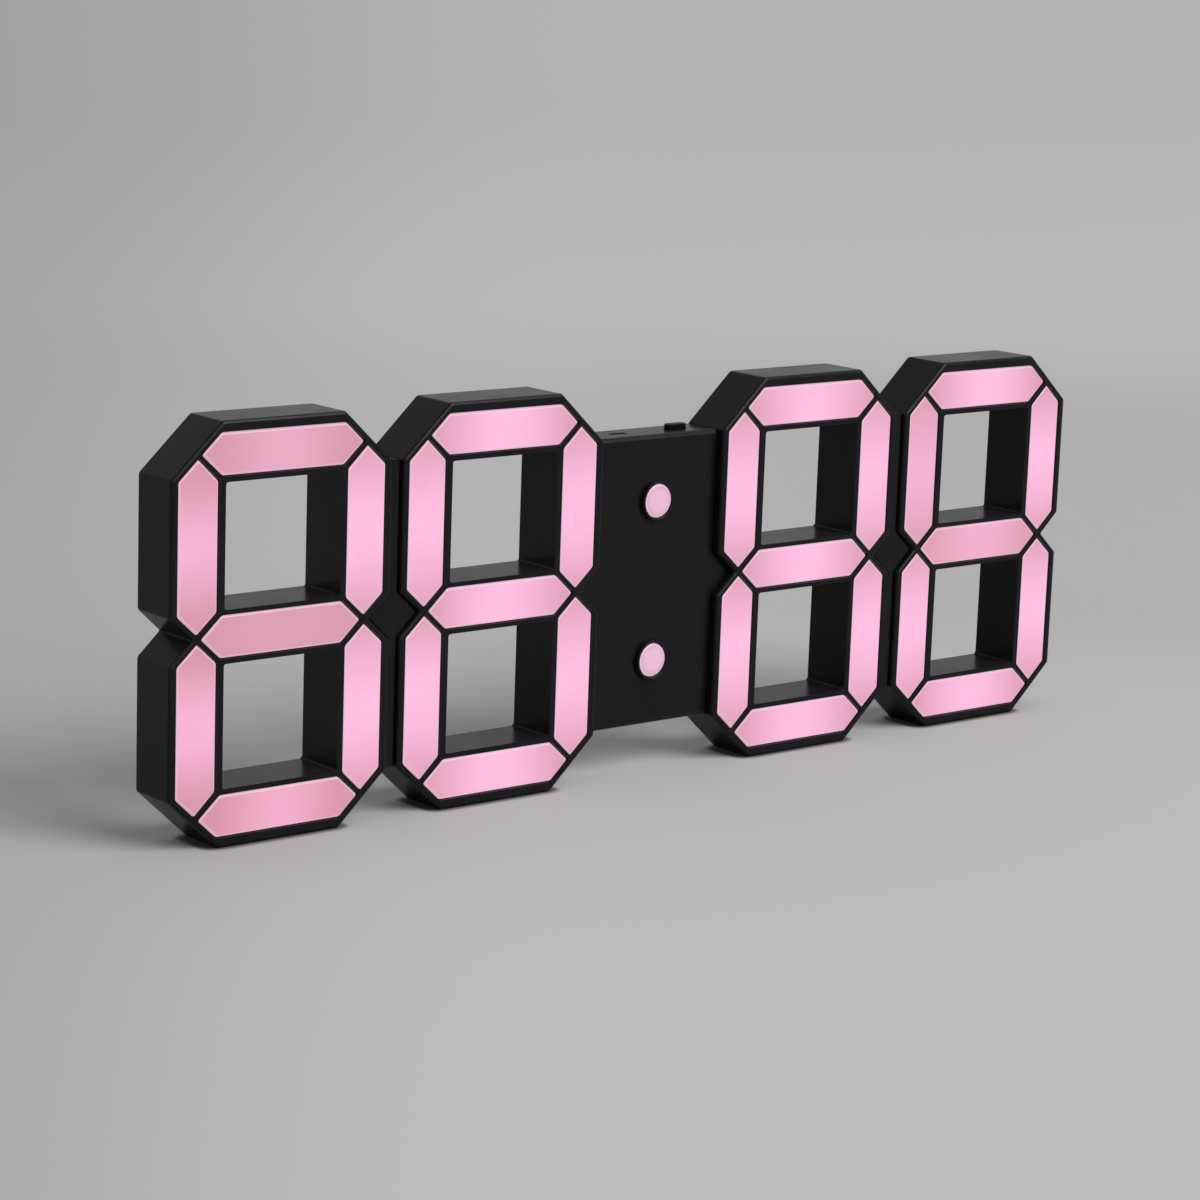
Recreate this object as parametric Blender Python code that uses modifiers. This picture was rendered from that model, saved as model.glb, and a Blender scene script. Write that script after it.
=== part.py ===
"""A seven-segment LED wall clock, modelled as the assembly of its separate pieces.

Metres, +Z up. X runs to the right seen from the front, Y runs from the front to the back.
The origin is at the bottom centre of the clock, on the surface it stands on.
Outlines are drawn around the clock's middle height, and depths are counted from the digits' front face.
"""

import math

import bmesh
import bpy
from mathutils import Matrix, Vector

# Digit casing
DIGIT_HALF_WIDTH = 0.0402
DIGIT_HALF_HEIGHT = 0.0656
ARM_WIDTH = 0.0191
END_BAR_HEIGHT = 0.0185
MIDDLE_BAR_HEIGHT = 0.0166
CORNER_CUT_X = 0.0180
CORNER_CUT_Z = 0.0167
NOTCH_DEPTH = 0.0078
NOTCH_HALF = 0.0073
CASE_DEPTH = 0.0189
FACE = 0.0016
WALL = 0.0018
WINDOW_WALL = 0.0012
EDGE_ROUND = 0.0009

# Spaces between the digits
SEAM_WIDTH = 0.0039
CENTRE_WIDTH = 0.0514

# Segment lenses: rims left around them, and the mitre ribs between them
SIDE_RIM = 0.00265
TOP_RIM = 0.0036
CORNER_RIM_Z = 0.0032
UPRIGHT_WINDOW_RIM = 0.0024
BAR_WINDOW_RIM = 0.0020
MIDDLE_WINDOW_RIM = 0.0018
RIB_STEP = 0.0007
UPRIGHT_PAST_WINDOW = 0.0005
BAR_PAST_WINDOW = 0.0008
UPRIGHT_LOW_TIP = 0.0014
MIDDLE_TIP_RIM = 0.0034
MITRE_SHARE = 0.466
LENS_SET_BACK = 0.0003
LENS_EDGE = 0.0005

# Fits and overruns
GAP = 0.0003
OVERRUN = 0.0006

# Light path inside a digit
WEB = 0.0010
REAR_SPACE = 0.0060
LIGHT_BOX_LIP = 0.0008
BOARD = 0.0016
LED_LENGTH = 0.0035
LED_WIDTH = 0.0028
LED_HEIGHT = 0.0008
LED_SPREAD = 0.0100

# Rear covers and screws
COVER = 0.0018
SCREW_FROM_WINDOW_X = 0.0052
SCREW_FROM_WINDOW_Z = 0.0047
SCREW_SHANK = 0.0008
SCREW_HEAD = 0.0019
SCREW_HEAD_HEIGHT = 0.0012
SCREW_SOCKET = 0.0009
SCREW_SOCKET_DEPTH = 0.0006
SCREW_CROWN_SHARE = 0.8
SCREW_FLOOR = 0.0026
PILLAR = 0.0030
KEYHOLE_ROUND = 0.0040
KEYHOLE_SLOT = 0.0019
KEYHOLE_LENGTH = 0.0055
KEYHOLE_DROP = 0.0026

# Pieces between the digits
BRIDGE_DEPTH_SHARE = 0.08
PLATE_DEPTH_SHARE = 0.17
PLATE_ROUND = 0.0013
TAB_HEIGHT_SHARE = 0.61
TAB_HALF_HEIGHT = 0.0025
TAB_START = 0.0060
TAB_THICKNESS = 0.0030
RIBBON_HALF_HEIGHT = 0.0030
RIBBON = 0.0006
RIBBON_FROM_WINDOW = 0.0029
RIBBON_SLOT_LENGTH = 0.0078

# Colon
COLON_HEIGHT_SHARE = 0.55
COLON_LENS = 0.0056
COLON_FLANGE = 0.0063
COLON_FLANGE_THICKNESS = 0.0010
COLLAR = 0.0068
COLLAR_PROUD = 0.0016
COLON_LENS_PROUD = 0.0014
TUBE_WALL = 0.0012

# Main board and what is on it
MAIN_BOARD_SIDE_ROOM = 0.0009
MAIN_BOARD_END_ROOM = 0.0021
MAIN_BOARD_FRONT_ROOM = 0.0027
BOARD_HOLE = 0.0013
CENTRE_SCREW_FROM_SIDE = 0.0028
CENTRE_SCREW_FROM_END = 0.0095
HEADER_FROM_SIDE = 0.0050
HEADER_HALF_WIDTH = 0.0030
HEADER_HALF_HEIGHT = 0.0040
CHIP_LENGTH = 0.0099
CHIP_WIDTH = 0.0060
CHIP_HEIGHT = 0.0016
CHIP_FROM_SIDE = 0.0065
CHIP_Z = 0.0140

# Power socket in the top of the centre housing
PORT_X = -0.0116
PORT_LENGTH = 0.0072
PORT_WIDTH = 0.0023
SOCKET_LENGTH = 0.0075
SOCKET_THICKNESS = 0.0029
SOCKET_DEPTH = 0.0056
SOCKET_SHELL = 0.0004
TONGUE_LENGTH = 0.0038
TONGUE_THICKNESS = 0.0006

# Top button and its switch
TOP_BUTTON_X = 0.0134
TOP_BUTTON_LENGTH = 0.0084
TOP_BUTTON_WIDTH = 0.0036
TOP_BUTTON_PROUD = 0.0018
TOP_BUTTON_FLANGE = 0.0009
TOP_BUTTON_LIP = 0.0010
TOP_BUTTON_FOOT_LENGTH = 0.0028
TOP_BUTTON_FOOT_WIDTH = 0.0018
TOP_BUTTON_FOOT_HEIGHT = 0.0007
TOP_SWITCH_LENGTH = 0.0060
TOP_SWITCH_HEIGHT = 0.0040
SWITCH_DEPTH_SHARE = 0.185
PLUNGER_PROUD = 0.0009
PLUNGER_SUNK = 0.0013
PLUNGER_ROOM = 0.0008

# Rear setting buttons and their switches
REAR_BUTTON_X = 0.0100
REAR_BUTTON_FROM_TOP = 0.0209
REAR_BUTTON = 0.0025
REAR_BUTTON_FLANGE = 0.0034
REAR_BUTTON_FLANGE_THICKNESS = 0.0005
REAR_BUTTON_SUNK = 0.0004
REAR_SWITCH = 0.0060
REAR_PLUNGER = 0.0016

# Buzzer and backup cell
BUZZER = 0.0048
BUZZER_HEIGHT = 0.0045
BUZZER_HOLE = 0.0010
BUZZER_Z = 0.0100
SOUND_SLOT_LENGTH = 0.0080
SOUND_SLOT_WIDTH = 0.0010
SOUND_SLOT_PITCH = 0.0028
CELL_HEIGHT_SHARE = 0.37
CELL = 0.0100
CELL_DEPTH_SHARE = 0.17
HOLDER_WALL = 0.0013
HOLDER_FLOOR = 0.0010
DOOR = 0.0120
LUG_REACH = 0.0018
LUG_WIDTH = 0.0046
UNLOCK_ANGLE = math.radians(60)
COIN_SLOT_LENGTH = 0.0120
COIN_SLOT_WIDTH = 0.0018
COIN_SLOT_DEPTH = 0.0008

# Facets, shading and merging
ROUND_STEPS = 24
SMALL_STEPS = 12
SMOOTH_ANGLE = math.radians(30)
FLAT_ANGLE = math.radians(1)
MERGE = 0.000001
SAME_PLANE = 0.00003

# Outline places that follow from the sizes above
WINDOW_HALF_WIDTH = DIGIT_HALF_WIDTH - ARM_WIDTH
WINDOW_LOW = MIDDLE_BAR_HEIGHT / 2
WINDOW_HIGH = DIGIT_HALF_HEIGHT - END_BAR_HEIGHT
CORNER_START_X = DIGIT_HALF_WIDTH - CORNER_CUT_X
CORNER_START_Z = DIGIT_HALF_HEIGHT - CORNER_CUT_Z
SCREW_X = WINDOW_HALF_WIDTH + SCREW_FROM_WINDOW_X
SCREW_Z = WINDOW_HIGH + SCREW_FROM_WINDOW_Z
KEYHOLE_Z = DIGIT_HALF_HEIGHT - END_BAR_HEIGHT / 2 - KEYHOLE_DROP
HALF_SEAM = SEAM_WIDTH / 2
HALF_CENTRE = CENTRE_WIDTH / 2
PLATE_HALF_HEIGHT = CORNER_START_Z
TAB_Z = PLATE_HALF_HEIGHT * TAB_HEIGHT_SHARE
COLON_Z = PLATE_HALF_HEIGHT * COLON_HEIGHT_SHARE
CELL_Z = -PLATE_HALF_HEIGHT * CELL_HEIGHT_SHARE
MAIN_BOARD_HALF_WIDTH = HALF_CENTRE - WALL - MAIN_BOARD_SIDE_ROOM
MAIN_BOARD_HALF_HEIGHT = PLATE_HALF_HEIGHT - WALL - MAIN_BOARD_END_ROOM
CENTRE_SCREW_X = MAIN_BOARD_HALF_WIDTH - CENTRE_SCREW_FROM_SIDE
CENTRE_SCREW_Z = MAIN_BOARD_HALF_HEIGHT - CENTRE_SCREW_FROM_END
HEADER_X = MAIN_BOARD_HALF_WIDTH - HEADER_FROM_SIDE
CHIP_X = MAIN_BOARD_HALF_WIDTH - CHIP_FROM_SIDE
REAR_BUTTON_Z = PLATE_HALF_HEIGHT - REAR_BUTTON_FROM_TOP

# Depths that follow from the sizes above
WEB_START = FACE + GAP
LIGHT_BOX_START = WEB_START + WEB + GAP
LED_BOARD_END = CASE_DEPTH - REAR_SPACE
LED_BOARD_START = LED_BOARD_END - BOARD
LIGHT_BOX_END = LED_BOARD_START - GAP
COVER_START = CASE_DEPTH - COVER
SCREW_HEAD_START = CASE_DEPTH - GAP - SCREW_HEAD_HEIGHT
SCREW_TIP = LIGHT_BOX_START + SCREW_FLOOR
RIBBON_START = LED_BOARD_END + GAP
RIBBON_END = RIBBON_START + RIBBON
BRIDGE_SET_BACK = CASE_DEPTH * BRIDGE_DEPTH_SHARE
PLATE_SET_BACK = CASE_DEPTH * PLATE_DEPTH_SHARE
PLATE_BACK = PLATE_SET_BACK + FACE
CENTRE_SCREW_TIP = PLATE_BACK + 2 * GAP
MAIN_BOARD_START = PLATE_BACK + MAIN_BOARD_FRONT_ROOM
MAIN_BOARD_END = MAIN_BOARD_START + BOARD
TOP_PARTS_DEPTH = MAIN_BOARD_END + GAP + SOCKET_THICKNESS / 2
SWITCH_THICKNESS = CASE_DEPTH * SWITCH_DEPTH_SHARE
CELL_START = MAIN_BOARD_END + GAP + HOLDER_FLOOR + GAP
CELL_END = CELL_START + CASE_DEPTH * CELL_DEPTH_SHARE

# Where the digits' middles are
INNER_DIGIT_X = HALF_CENTRE + DIGIT_HALF_WIDTH
SEAM_X = INNER_DIGIT_X + DIGIT_HALF_WIDTH + HALF_SEAM
OUTER_DIGIT_X = SEAM_X + HALF_SEAM + DIGIT_HALF_WIDTH
DIGIT_X = (-OUTER_DIGIT_X, -INNER_DIGIT_X, INNER_DIGIT_X, OUTER_DIGIT_X)


def clear_scene():
    """Remove whatever the open scene holds."""
    for item in list(bpy.data.objects):
        bpy.data.objects.remove(item, do_unlink=True)


def new_collection(name):
    """Make a collection under the scene's own."""
    collection = bpy.data.collections.new(name)
    bpy.context.scene.collection.children.link(collection)
    return collection


def material(name, colour, roughness, metallic=0.0):
    """Make a Principled material with one colour."""
    made = bpy.data.materials.new(name)
    made.use_nodes = True
    shader = made.node_tree.nodes["Principled BSDF"]
    shader.inputs["Base Color"].default_value = (*colour, 1.0)
    shader.inputs["Roughness"].default_value = roughness
    shader.inputs["Metallic"].default_value = metallic
    return made


clear_scene()
PARTS = new_collection("led_wall_clock")
CUTTERS = new_collection("cutters")
BLACK_PLASTIC = material("black_plastic", (0.012, 0.012, 0.013), 0.5)
PINK_LENS = material("pink_lens", (0.85, 0.42, 0.62), 0.35)
WHITE_PLASTIC = material("white_plastic", (0.85, 0.85, 0.83), 0.45)
CIRCUIT_BOARD = material("circuit_board", (0.02, 0.16, 0.07), 0.4)
CABLE_GREY = material("cable_grey", (0.42, 0.43, 0.45), 0.5)
STEEL = material("steel", (0.62, 0.62, 0.64), 0.3, 1.0)
DARK_NYLON = material("dark_nylon", (0.03, 0.03, 0.03), 0.45)


# Building blocks

def at_depth(depth):
    """Turn a depth behind the digits' front face into a Y place."""
    return depth - CASE_DEPTH / 2


def add_object(name, mesh):
    """Link a mesh as a new object among the cutters, where it stays until it is finished."""
    item = bpy.data.objects.new(name, mesh)
    CUTTERS.objects.link(item)
    item.hide_render = True
    item.display_type = "WIRE"
    return item


def prism(loops, start, end, along="Y"):
    """Extrude flat outlines, the first one solid and the next ones holes.

    Along Y the outlines lie in X and Z and run between two depths. Along Z they lie in X and Y.
    """
    curve = bpy.data.curves.new("outline", "CURVE")
    curve.dimensions = "2D"
    curve.fill_mode = "BOTH"
    curve.extrude = (end - start) / 2
    for loop in loops:
        spline = curve.splines.new("POLY")
        spline.points.add(len(loop) - 1)
        for point, place in zip(spline.points, loop):
            point.co = (place[0], place[1], 0, 1)
        spline.use_cyclic_u = True
    guide = add_object("outline", curve)
    middle = (start + end) / 2
    if along == "Y":
        turn = Matrix.Rotation(math.pi / 2, 4, "X")
        guide.matrix_world = Matrix.Translation((0, at_depth(middle), 0)) @ turn
    else:
        guide.matrix_world = Matrix.Translation((0, 0, middle))
    bpy.context.view_layer.update()
    mesh = bpy.data.meshes.new_from_object(guide.evaluated_get(bpy.context.evaluated_depsgraph_get()))
    shape = bmesh.new()
    shape.from_mesh(mesh)
    bmesh.ops.remove_doubles(shape, verts=shape.verts, dist=MERGE)
    bmesh.ops.dissolve_limit(shape, angle_limit=FLAT_ANGLE, verts=shape.verts, edges=shape.edges)
    bmesh.ops.recalc_face_normals(shape, faces=shape.faces)
    shape.to_mesh(mesh)
    shape.free()
    mesh.transform(guide.matrix_world)
    bpy.data.objects.remove(guide, do_unlink=True)
    return add_object("solid", mesh)


def block(low, high):
    """Make a box from its lowest and highest X, depth and Z."""
    low_corner = Vector((low[0], at_depth(low[1]), low[2]))
    high_corner = Vector((high[0], at_depth(high[1]), high[2]))
    size = high_corner - low_corner
    shape = bmesh.new()
    place = Matrix.Translation((low_corner + high_corner) / 2) @ Matrix.Diagonal((*size, 1))
    bmesh.ops.create_cube(shape, size=1, matrix=place)
    mesh = bpy.data.meshes.new("block")
    shape.to_mesh(mesh)
    shape.free()
    return add_object("block", mesh)


def rod(radius, start, end, x=0, z=0, steps=SMALL_STEPS):
    """Make a round bar that runs front to back between two depths."""
    shape = bmesh.new()
    turn = Matrix.Rotation(math.pi / 2, 4, "X")
    place = Matrix.Translation((x, at_depth((start + end) / 2), z)) @ turn
    bmesh.ops.create_cone(
        shape, cap_ends=True, segments=steps, radius1=radius, radius2=radius, depth=end - start, matrix=place
    )
    mesh = bpy.data.meshes.new("rod")
    shape.to_mesh(mesh)
    shape.free()
    return add_object("rod", mesh)


def combine(item, tool, operation):
    """Apply one Boolean to an object and remove the tool."""
    change = item.modifiers.new(operation.lower(), "BOOLEAN")
    change.operation = operation
    change.solver = "EXACT"
    change.object = tool
    bpy.context.view_layer.update()
    with bpy.context.temp_override(object=item, active_object=item, selected_objects=[item]):
        bpy.ops.object.modifier_apply(modifier=change.name)
    bpy.data.objects.remove(tool, do_unlink=True)
    return item


def join(item, *tools):
    """Add solids to an object."""
    for tool in tools:
        combine(item, tool, "UNION")
    return item


def cut(item, *tools):
    """Cut solids out of an object."""
    for tool in tools:
        combine(item, tool, "DIFFERENCE")
    return item


def bevel_rims(item, size, depths, segments, level=None):
    """Bevel the edges of a prism at the given depths, or only those level with a height there."""
    shape = bmesh.new()
    shape.from_mesh(item.data)
    rims = []
    for edge in shape.edges:
        ends = [vertex.co for vertex in edge.verts]
        at_rim = any(all(abs(end.y - at_depth(depth)) < SAME_PLANE for end in ends) for depth in depths)
        is_level = abs(ends[0].z - ends[1].z) < SAME_PLANE
        at_level = is_level and level is not None and abs(abs(ends[0].z) - level) < SAME_PLANE
        if at_rim and (level is None or at_level):
            rims.append(edge)
    bmesh.ops.bevel(
        shape, geom=rims, offset=size, segments=segments, profile=0.5, affect="EDGES", material=-1
    )
    shape.to_mesh(item.data)
    shape.free()
    return item


def finish(item, name, finish_material, x=0, z=0):
    """Name a finished piece, give it its material and set it in its place in the clock."""
    item.name = name
    item.data.name = name
    item.data.materials.clear()
    item.data.materials.append(finish_material)
    item.data.shade_smooth()
    item.data.set_sharp_from_angle(angle=SMOOTH_ANGLE)
    item.location = (x, 0, DIGIT_HALF_HEIGHT + z)
    item.hide_render = False
    item.display_type = "TEXTURED"
    CUTTERS.objects.unlink(item)
    PARTS.objects.link(item)
    return item


def twin(item, name, x=0, z=0):
    """Place another piece that shares a finished piece's mesh."""
    copy = bpy.data.objects.new(name, item.data)
    copy.location = (x, 0, DIGIT_HALF_HEIGHT + z)
    PARTS.objects.link(copy)
    return copy


# Outlines

def mirrored(points):
    """Close an outline of which the right half is given from top to bottom."""
    left = [(-x, z) for x, z in reversed(points) if x > 0]
    return points + left


def offset(points, distance):
    """Move an outline's sides outwards by a distance, or inwards by a negative one."""
    area = sum(a[0] * b[1] - b[0] * a[1] for a, b in zip(points, points[1:] + points[:1]))
    side = math.copysign(distance, area * distance)
    moved = []
    for before, here, after in zip(points[-1:] + points[:-1], points, points[1:] + points[:1]):
        first = (Vector(here) - Vector(before)).normalized()
        second = (Vector(after) - Vector(here)).normalized()
        out_first = Vector((first.y, -first.x))
        out_second = Vector((second.y, -second.x))
        middle = (out_first + out_second).normalized()
        reach = side / middle.dot(out_first)
        moved.append(tuple(Vector(here) + middle * reach))
    return moved


def rectangle(half_width, low, high):
    """Outline a rectangle that is centred across."""
    return [(half_width, high), (half_width, low), (-half_width, low), (-half_width, high)]


def stadium(length, width, x, y):
    """Outline a slot with round ends that lies along X."""
    radius = width / 2
    straight = length / 2 - radius
    points = []
    for end in (1, -1):
        for step in range(SMALL_STEPS // 2 + 1):
            angle = math.pi * (step / (SMALL_STEPS // 2)) - math.pi / 2
            across = x + end * (straight + radius * math.cos(angle))
            points.append((across, y + end * radius * math.sin(angle)))
    return points


def digit_outline():
    """Outline a digit's casing: cut corners and a V notch at each side of the waist."""
    return mirrored([
        (CORNER_START_X, DIGIT_HALF_HEIGHT),
        (DIGIT_HALF_WIDTH, CORNER_START_Z),
        (DIGIT_HALF_WIDTH, NOTCH_HALF),
        (DIGIT_HALF_WIDTH - NOTCH_DEPTH, 0),
        (DIGIT_HALF_WIDTH, -NOTCH_HALF),
        (DIGIT_HALF_WIDTH, -CORNER_START_Z),
        (CORNER_START_X, -DIGIT_HALF_HEIGHT),
    ])


def window_outlines(margin):
    """Outline a digit's two windows, grown by a margin."""
    upper = rectangle(WINDOW_HALF_WIDTH + margin, WINDOW_LOW - margin, WINDOW_HIGH + margin)
    lower = [(x, -z) for x, z in reversed(upper)]
    return [upper, lower]


def channel_outlines(outer_margin, window_margin):
    """Outline the space between a digit's outer wall and its window walls."""
    return [offset(digit_outline(), -outer_margin)] + window_outlines(window_margin)


def corner_line(x):
    """Height of the line that the lenses keep to along a cut corner."""
    slope = CORNER_CUT_Z / CORNER_CUT_X
    return CORNER_START_Z + slope * (DIGIT_HALF_WIDTH - x) - CORNER_RIM_Z


def upright_outline():
    """Outline the upper right lens: side edges, a mitred head and a pointed foot."""
    outer = DIGIT_HALF_WIDTH - SIDE_RIM
    inner = WINDOW_HALF_WIDTH + UPRIGHT_WINDOW_RIM
    head = WINDOW_HALF_WIDTH + ARM_WIDTH * MITRE_SHARE + RIB_STEP
    shoulder = WINDOW_LOW - UPRIGHT_PAST_WINDOW
    return [
        (head, corner_line(head)),
        (outer, corner_line(outer)),
        (outer, shoulder),
        ((outer + inner) / 2, UPRIGHT_LOW_TIP),
        (inner, shoulder),
        (inner, WINDOW_HIGH + UPRIGHT_PAST_WINDOW),
    ]


def top_outline():
    """Outline the top lens: mitred at both ends."""
    high = DIGIT_HALF_HEIGHT - TOP_RIM
    slope = CORNER_CUT_Z / CORNER_CUT_X
    shoulder = DIGIT_HALF_WIDTH - (high - corner_line(DIGIT_HALF_WIDTH)) / slope
    tip = WINDOW_HALF_WIDTH + ARM_WIDTH * MITRE_SHARE - RIB_STEP
    inner = WINDOW_HALF_WIDTH + BAR_PAST_WINDOW
    return mirrored([(shoulder, high), (tip, corner_line(tip)), (inner, WINDOW_HIGH + BAR_WINDOW_RIM)])


def middle_outline():
    """Outline the middle lens: pointed at both ends."""
    shoulder = WINDOW_HALF_WIDTH + BAR_PAST_WINDOW
    half = WINDOW_LOW - MIDDLE_WINDOW_RIM
    tip = DIGIT_HALF_WIDTH - NOTCH_DEPTH - MIDDLE_TIP_RIM
    return mirrored([(shoulder, half), (tip, 0), (shoulder, -half)])


def segment_outlines():
    """Outline the seven lenses of a digit."""
    outlines = [middle_outline()]
    for up in (1, -1):
        outlines.append([(x, up * z) for x, z in top_outline()])
        for right in (1, -1):
            outlines.append([(right * x, up * z) for x, z in upright_outline()])
    return outlines


def between_outline(half_gap, half_height):
    """Outline a piece that fills the space between two digits, notches included."""
    grown = mirrored([
        (half_gap, half_height + GAP),
        (half_gap, NOTCH_HALF),
        (half_gap + NOTCH_DEPTH, 0),
        (half_gap, -NOTCH_HALF),
        (half_gap, -half_height - GAP),
    ])
    return offset(grown, -GAP)


# Shapes that several pieces use

def screw_places():
    """The two corners of a digit where its rear cover is screwed down."""
    return [(-SCREW_X, SCREW_Z), (SCREW_X, -SCREW_Z)]


def centre_screw_places():
    """The four corners where the centre rear cover is screwed down."""
    return [(x, z) for x in (-CENTRE_SCREW_X, CENTRE_SCREW_X) for z in (-CENTRE_SCREW_Z, CENTRE_SCREW_Z)]


def screw_pillar(cover, x, z, board_end):
    """Add a hollow pillar to a cover, from its plate down to a board, for a sunk screw."""
    join(cover, rod(PILLAR, board_end + GAP, COVER_START + OVERRUN, x, z))
    cut(cover, rod(SCREW_SHANK + GAP, board_end - OVERRUN, CASE_DEPTH + OVERRUN, x, z))
    cut(cover, rod(SCREW_HEAD + GAP, SCREW_HEAD_START - GAP, CASE_DEPTH + OVERRUN, x, z))


def screw(tip_depth):
    """Turn a pan-head screw with a hollow in its head, its tip towards the front."""
    tip = at_depth(tip_depth)
    head = at_depth(SCREW_HEAD_START)
    top = head + SCREW_HEAD_HEIGHT
    profile = [
        (0, tip),
        (SCREW_SHANK / 2, tip),
        (SCREW_SHANK, tip + SCREW_SHANK),
        (SCREW_SHANK, head),
        (SCREW_HEAD, head),
        (SCREW_HEAD, head + SCREW_HEAD_HEIGHT / 2),
        (SCREW_HEAD * SCREW_CROWN_SHARE, top),
        (SCREW_SOCKET, top),
        (SCREW_SOCKET * SCREW_CROWN_SHARE, top - SCREW_SOCKET_DEPTH),
        (0, top - SCREW_SOCKET_DEPTH),
    ]
    return turned(profile)


def turned(profile, steps=SMALL_STEPS):
    """Turn a profile of radius and Y about the Y axis."""
    shape = bmesh.new()
    corners = [shape.verts.new((radius, y, 0)) for radius, y in profile]
    for first, second in zip(corners, corners[1:]):
        shape.edges.new((first, second))
    mesh = bpy.data.meshes.new("profile")
    shape.to_mesh(mesh)
    shape.free()
    item = add_object("profile", mesh)
    spin = item.modifiers.new("turn", "SCREW")
    spin.axis = "Y"
    spin.steps = steps
    spin.render_steps = steps
    spin.use_merge_vertices = True
    spin.merge_threshold = MERGE
    with bpy.context.temp_override(object=item, active_object=item, selected_objects=[item]):
        bpy.ops.object.modifier_apply(modifier=spin.name)
    shape = bmesh.new()
    shape.from_mesh(item.data)
    bmesh.ops.remove_doubles(shape, verts=shape.verts, dist=MERGE)
    bmesh.ops.recalc_face_normals(shape, faces=shape.faces)
    shape.to_mesh(item.data)
    shape.free()
    return item


# Pieces of a digit

def tab_slot(side):
    """Cutter for the slots that a neighbour's tabs go through, on one side of a digit."""
    tools = []
    inner = DIGIT_HALF_WIDTH - WALL - OVERRUN
    outer = DIGIT_HALF_WIDTH + OVERRUN
    for z in (-TAB_Z, TAB_Z):
        low = (min(side * inner, side * outer), TAB_START - GAP, z - TAB_HALF_HEIGHT - GAP)
        high = (max(side * inner, side * outer), TAB_START + TAB_THICKNESS + GAP, z + TAB_HALF_HEIGHT + GAP)
        tools.append(block(low, high))
    return tools


def ribbon_slot(inner, outer):
    """Cutter for a slot that a ribbon goes through, between two places along X."""
    low = (min(inner, outer), RIBBON_START - GAP, -RIBBON_HALF_HEIGHT - GAP)
    high = (max(inner, outer), RIBBON_END + GAP, RIBBON_HALF_HEIGHT + GAP)
    return block(low, high)


def digit_housing(number, x, joined_sides):
    """Casing of one digit: face with seven openings, outer wall and two window walls."""
    case = prism([digit_outline()], 0, CASE_DEPTH)
    bevel_rims(case, EDGE_ROUND, (0, CASE_DEPTH), 2)
    cut(case, prism(channel_outlines(WALL, WINDOW_WALL), FACE, CASE_DEPTH + OVERRUN))
    for outline in window_outlines(0):
        cut(case, prism([outline], -OVERRUN, CASE_DEPTH + OVERRUN))
    for outline in segment_outlines():
        cut(case, prism([offset(outline, GAP)], -OVERRUN, FACE + OVERRUN))
    for side in joined_sides:
        cut(case, *tab_slot(side))
        inner = DIGIT_HALF_WIDTH - NOTCH_DEPTH - 2 * WALL
        cut(case, ribbon_slot(side * inner, side * (DIGIT_HALF_WIDTH + OVERRUN)))
    return finish(case, f"digit_{number}_housing", BLACK_PLASTIC, x)


def digit_diffuser():
    """Translucent web with seven raised lenses that fill the face's openings."""
    web = prism(channel_outlines(WALL + GAP, WINDOW_WALL + GAP), WEB_START, WEB_START + WEB)
    for outline in segment_outlines():
        lens = prism([outline], LENS_SET_BACK, WEB_START + WEB / 2)
        join(web, bevel_rims(lens, LENS_EDGE, (LENS_SET_BACK,), 1))
    return web


def digit_light_box():
    """White frame that keeps the light of each segment apart."""
    frame = prism(channel_outlines(WALL + GAP, WINDOW_WALL + GAP), LIGHT_BOX_START, LIGHT_BOX_END)
    for outline in segment_outlines():
        opening = offset(outline, -LIGHT_BOX_LIP)
        cut(frame, prism([opening], LIGHT_BOX_START - OVERRUN, LIGHT_BOX_END + OVERRUN))
    for x, z in screw_places():
        cut(frame, rod(SCREW_SHANK + GAP, SCREW_TIP - GAP, LIGHT_BOX_END + OVERRUN, x, z))
    return frame


def led_places():
    """Where a digit's fourteen LED packages sit, and whether they lie along X."""
    upright_x = WINDOW_HALF_WIDTH + ARM_WIDTH / 2
    upright_z = (WINDOW_LOW + WINDOW_HIGH) / 2
    bar_z = DIGIT_HALF_HEIGHT - (TOP_RIM + END_BAR_HEIGHT - BAR_WINDOW_RIM) / 2
    places = []
    for shift in (-LED_SPREAD, LED_SPREAD):
        places.append((shift, 0, True))
        for up in (1, -1):
            places.append((shift, up * bar_z, True))
            for right in (1, -1):
                places.append((right * upright_x, up * upright_z + shift, False))
    return places


def led_package(x, z, lies_along_x, board_start):
    """One LED package on the front of a board."""
    half_x = (LED_LENGTH if lies_along_x else LED_WIDTH) / 2
    half_z = (LED_WIDTH if lies_along_x else LED_LENGTH) / 2
    low = (x - half_x, board_start - LED_HEIGHT, z - half_z)
    high = (x + half_x, board_start + BOARD / 2, z + half_z)
    return block(low, high)


def digit_led_board():
    """Circuit board behind a digit, with its LED packages."""
    board = prism(channel_outlines(WALL + 2 * GAP, WINDOW_WALL + 2 * GAP), LED_BOARD_START, LED_BOARD_END)
    for x, z, lies_along_x in led_places():
        join(board, led_package(x, z, lies_along_x, LED_BOARD_START))
    for x, z in screw_places():
        cut(board, rod(BOARD_HOLE, LED_BOARD_START - OVERRUN, LED_BOARD_END + OVERRUN, x, z))
    return board


def digit_rear_cover():
    """Lid of a digit, let in flush between its walls, with two screw pillars."""
    cover = prism(channel_outlines(WALL + GAP, WINDOW_WALL + GAP), COVER_START, CASE_DEPTH)
    for x, z in screw_places():
        screw_pillar(cover, x, z, LED_BOARD_END)
    return cover


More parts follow.
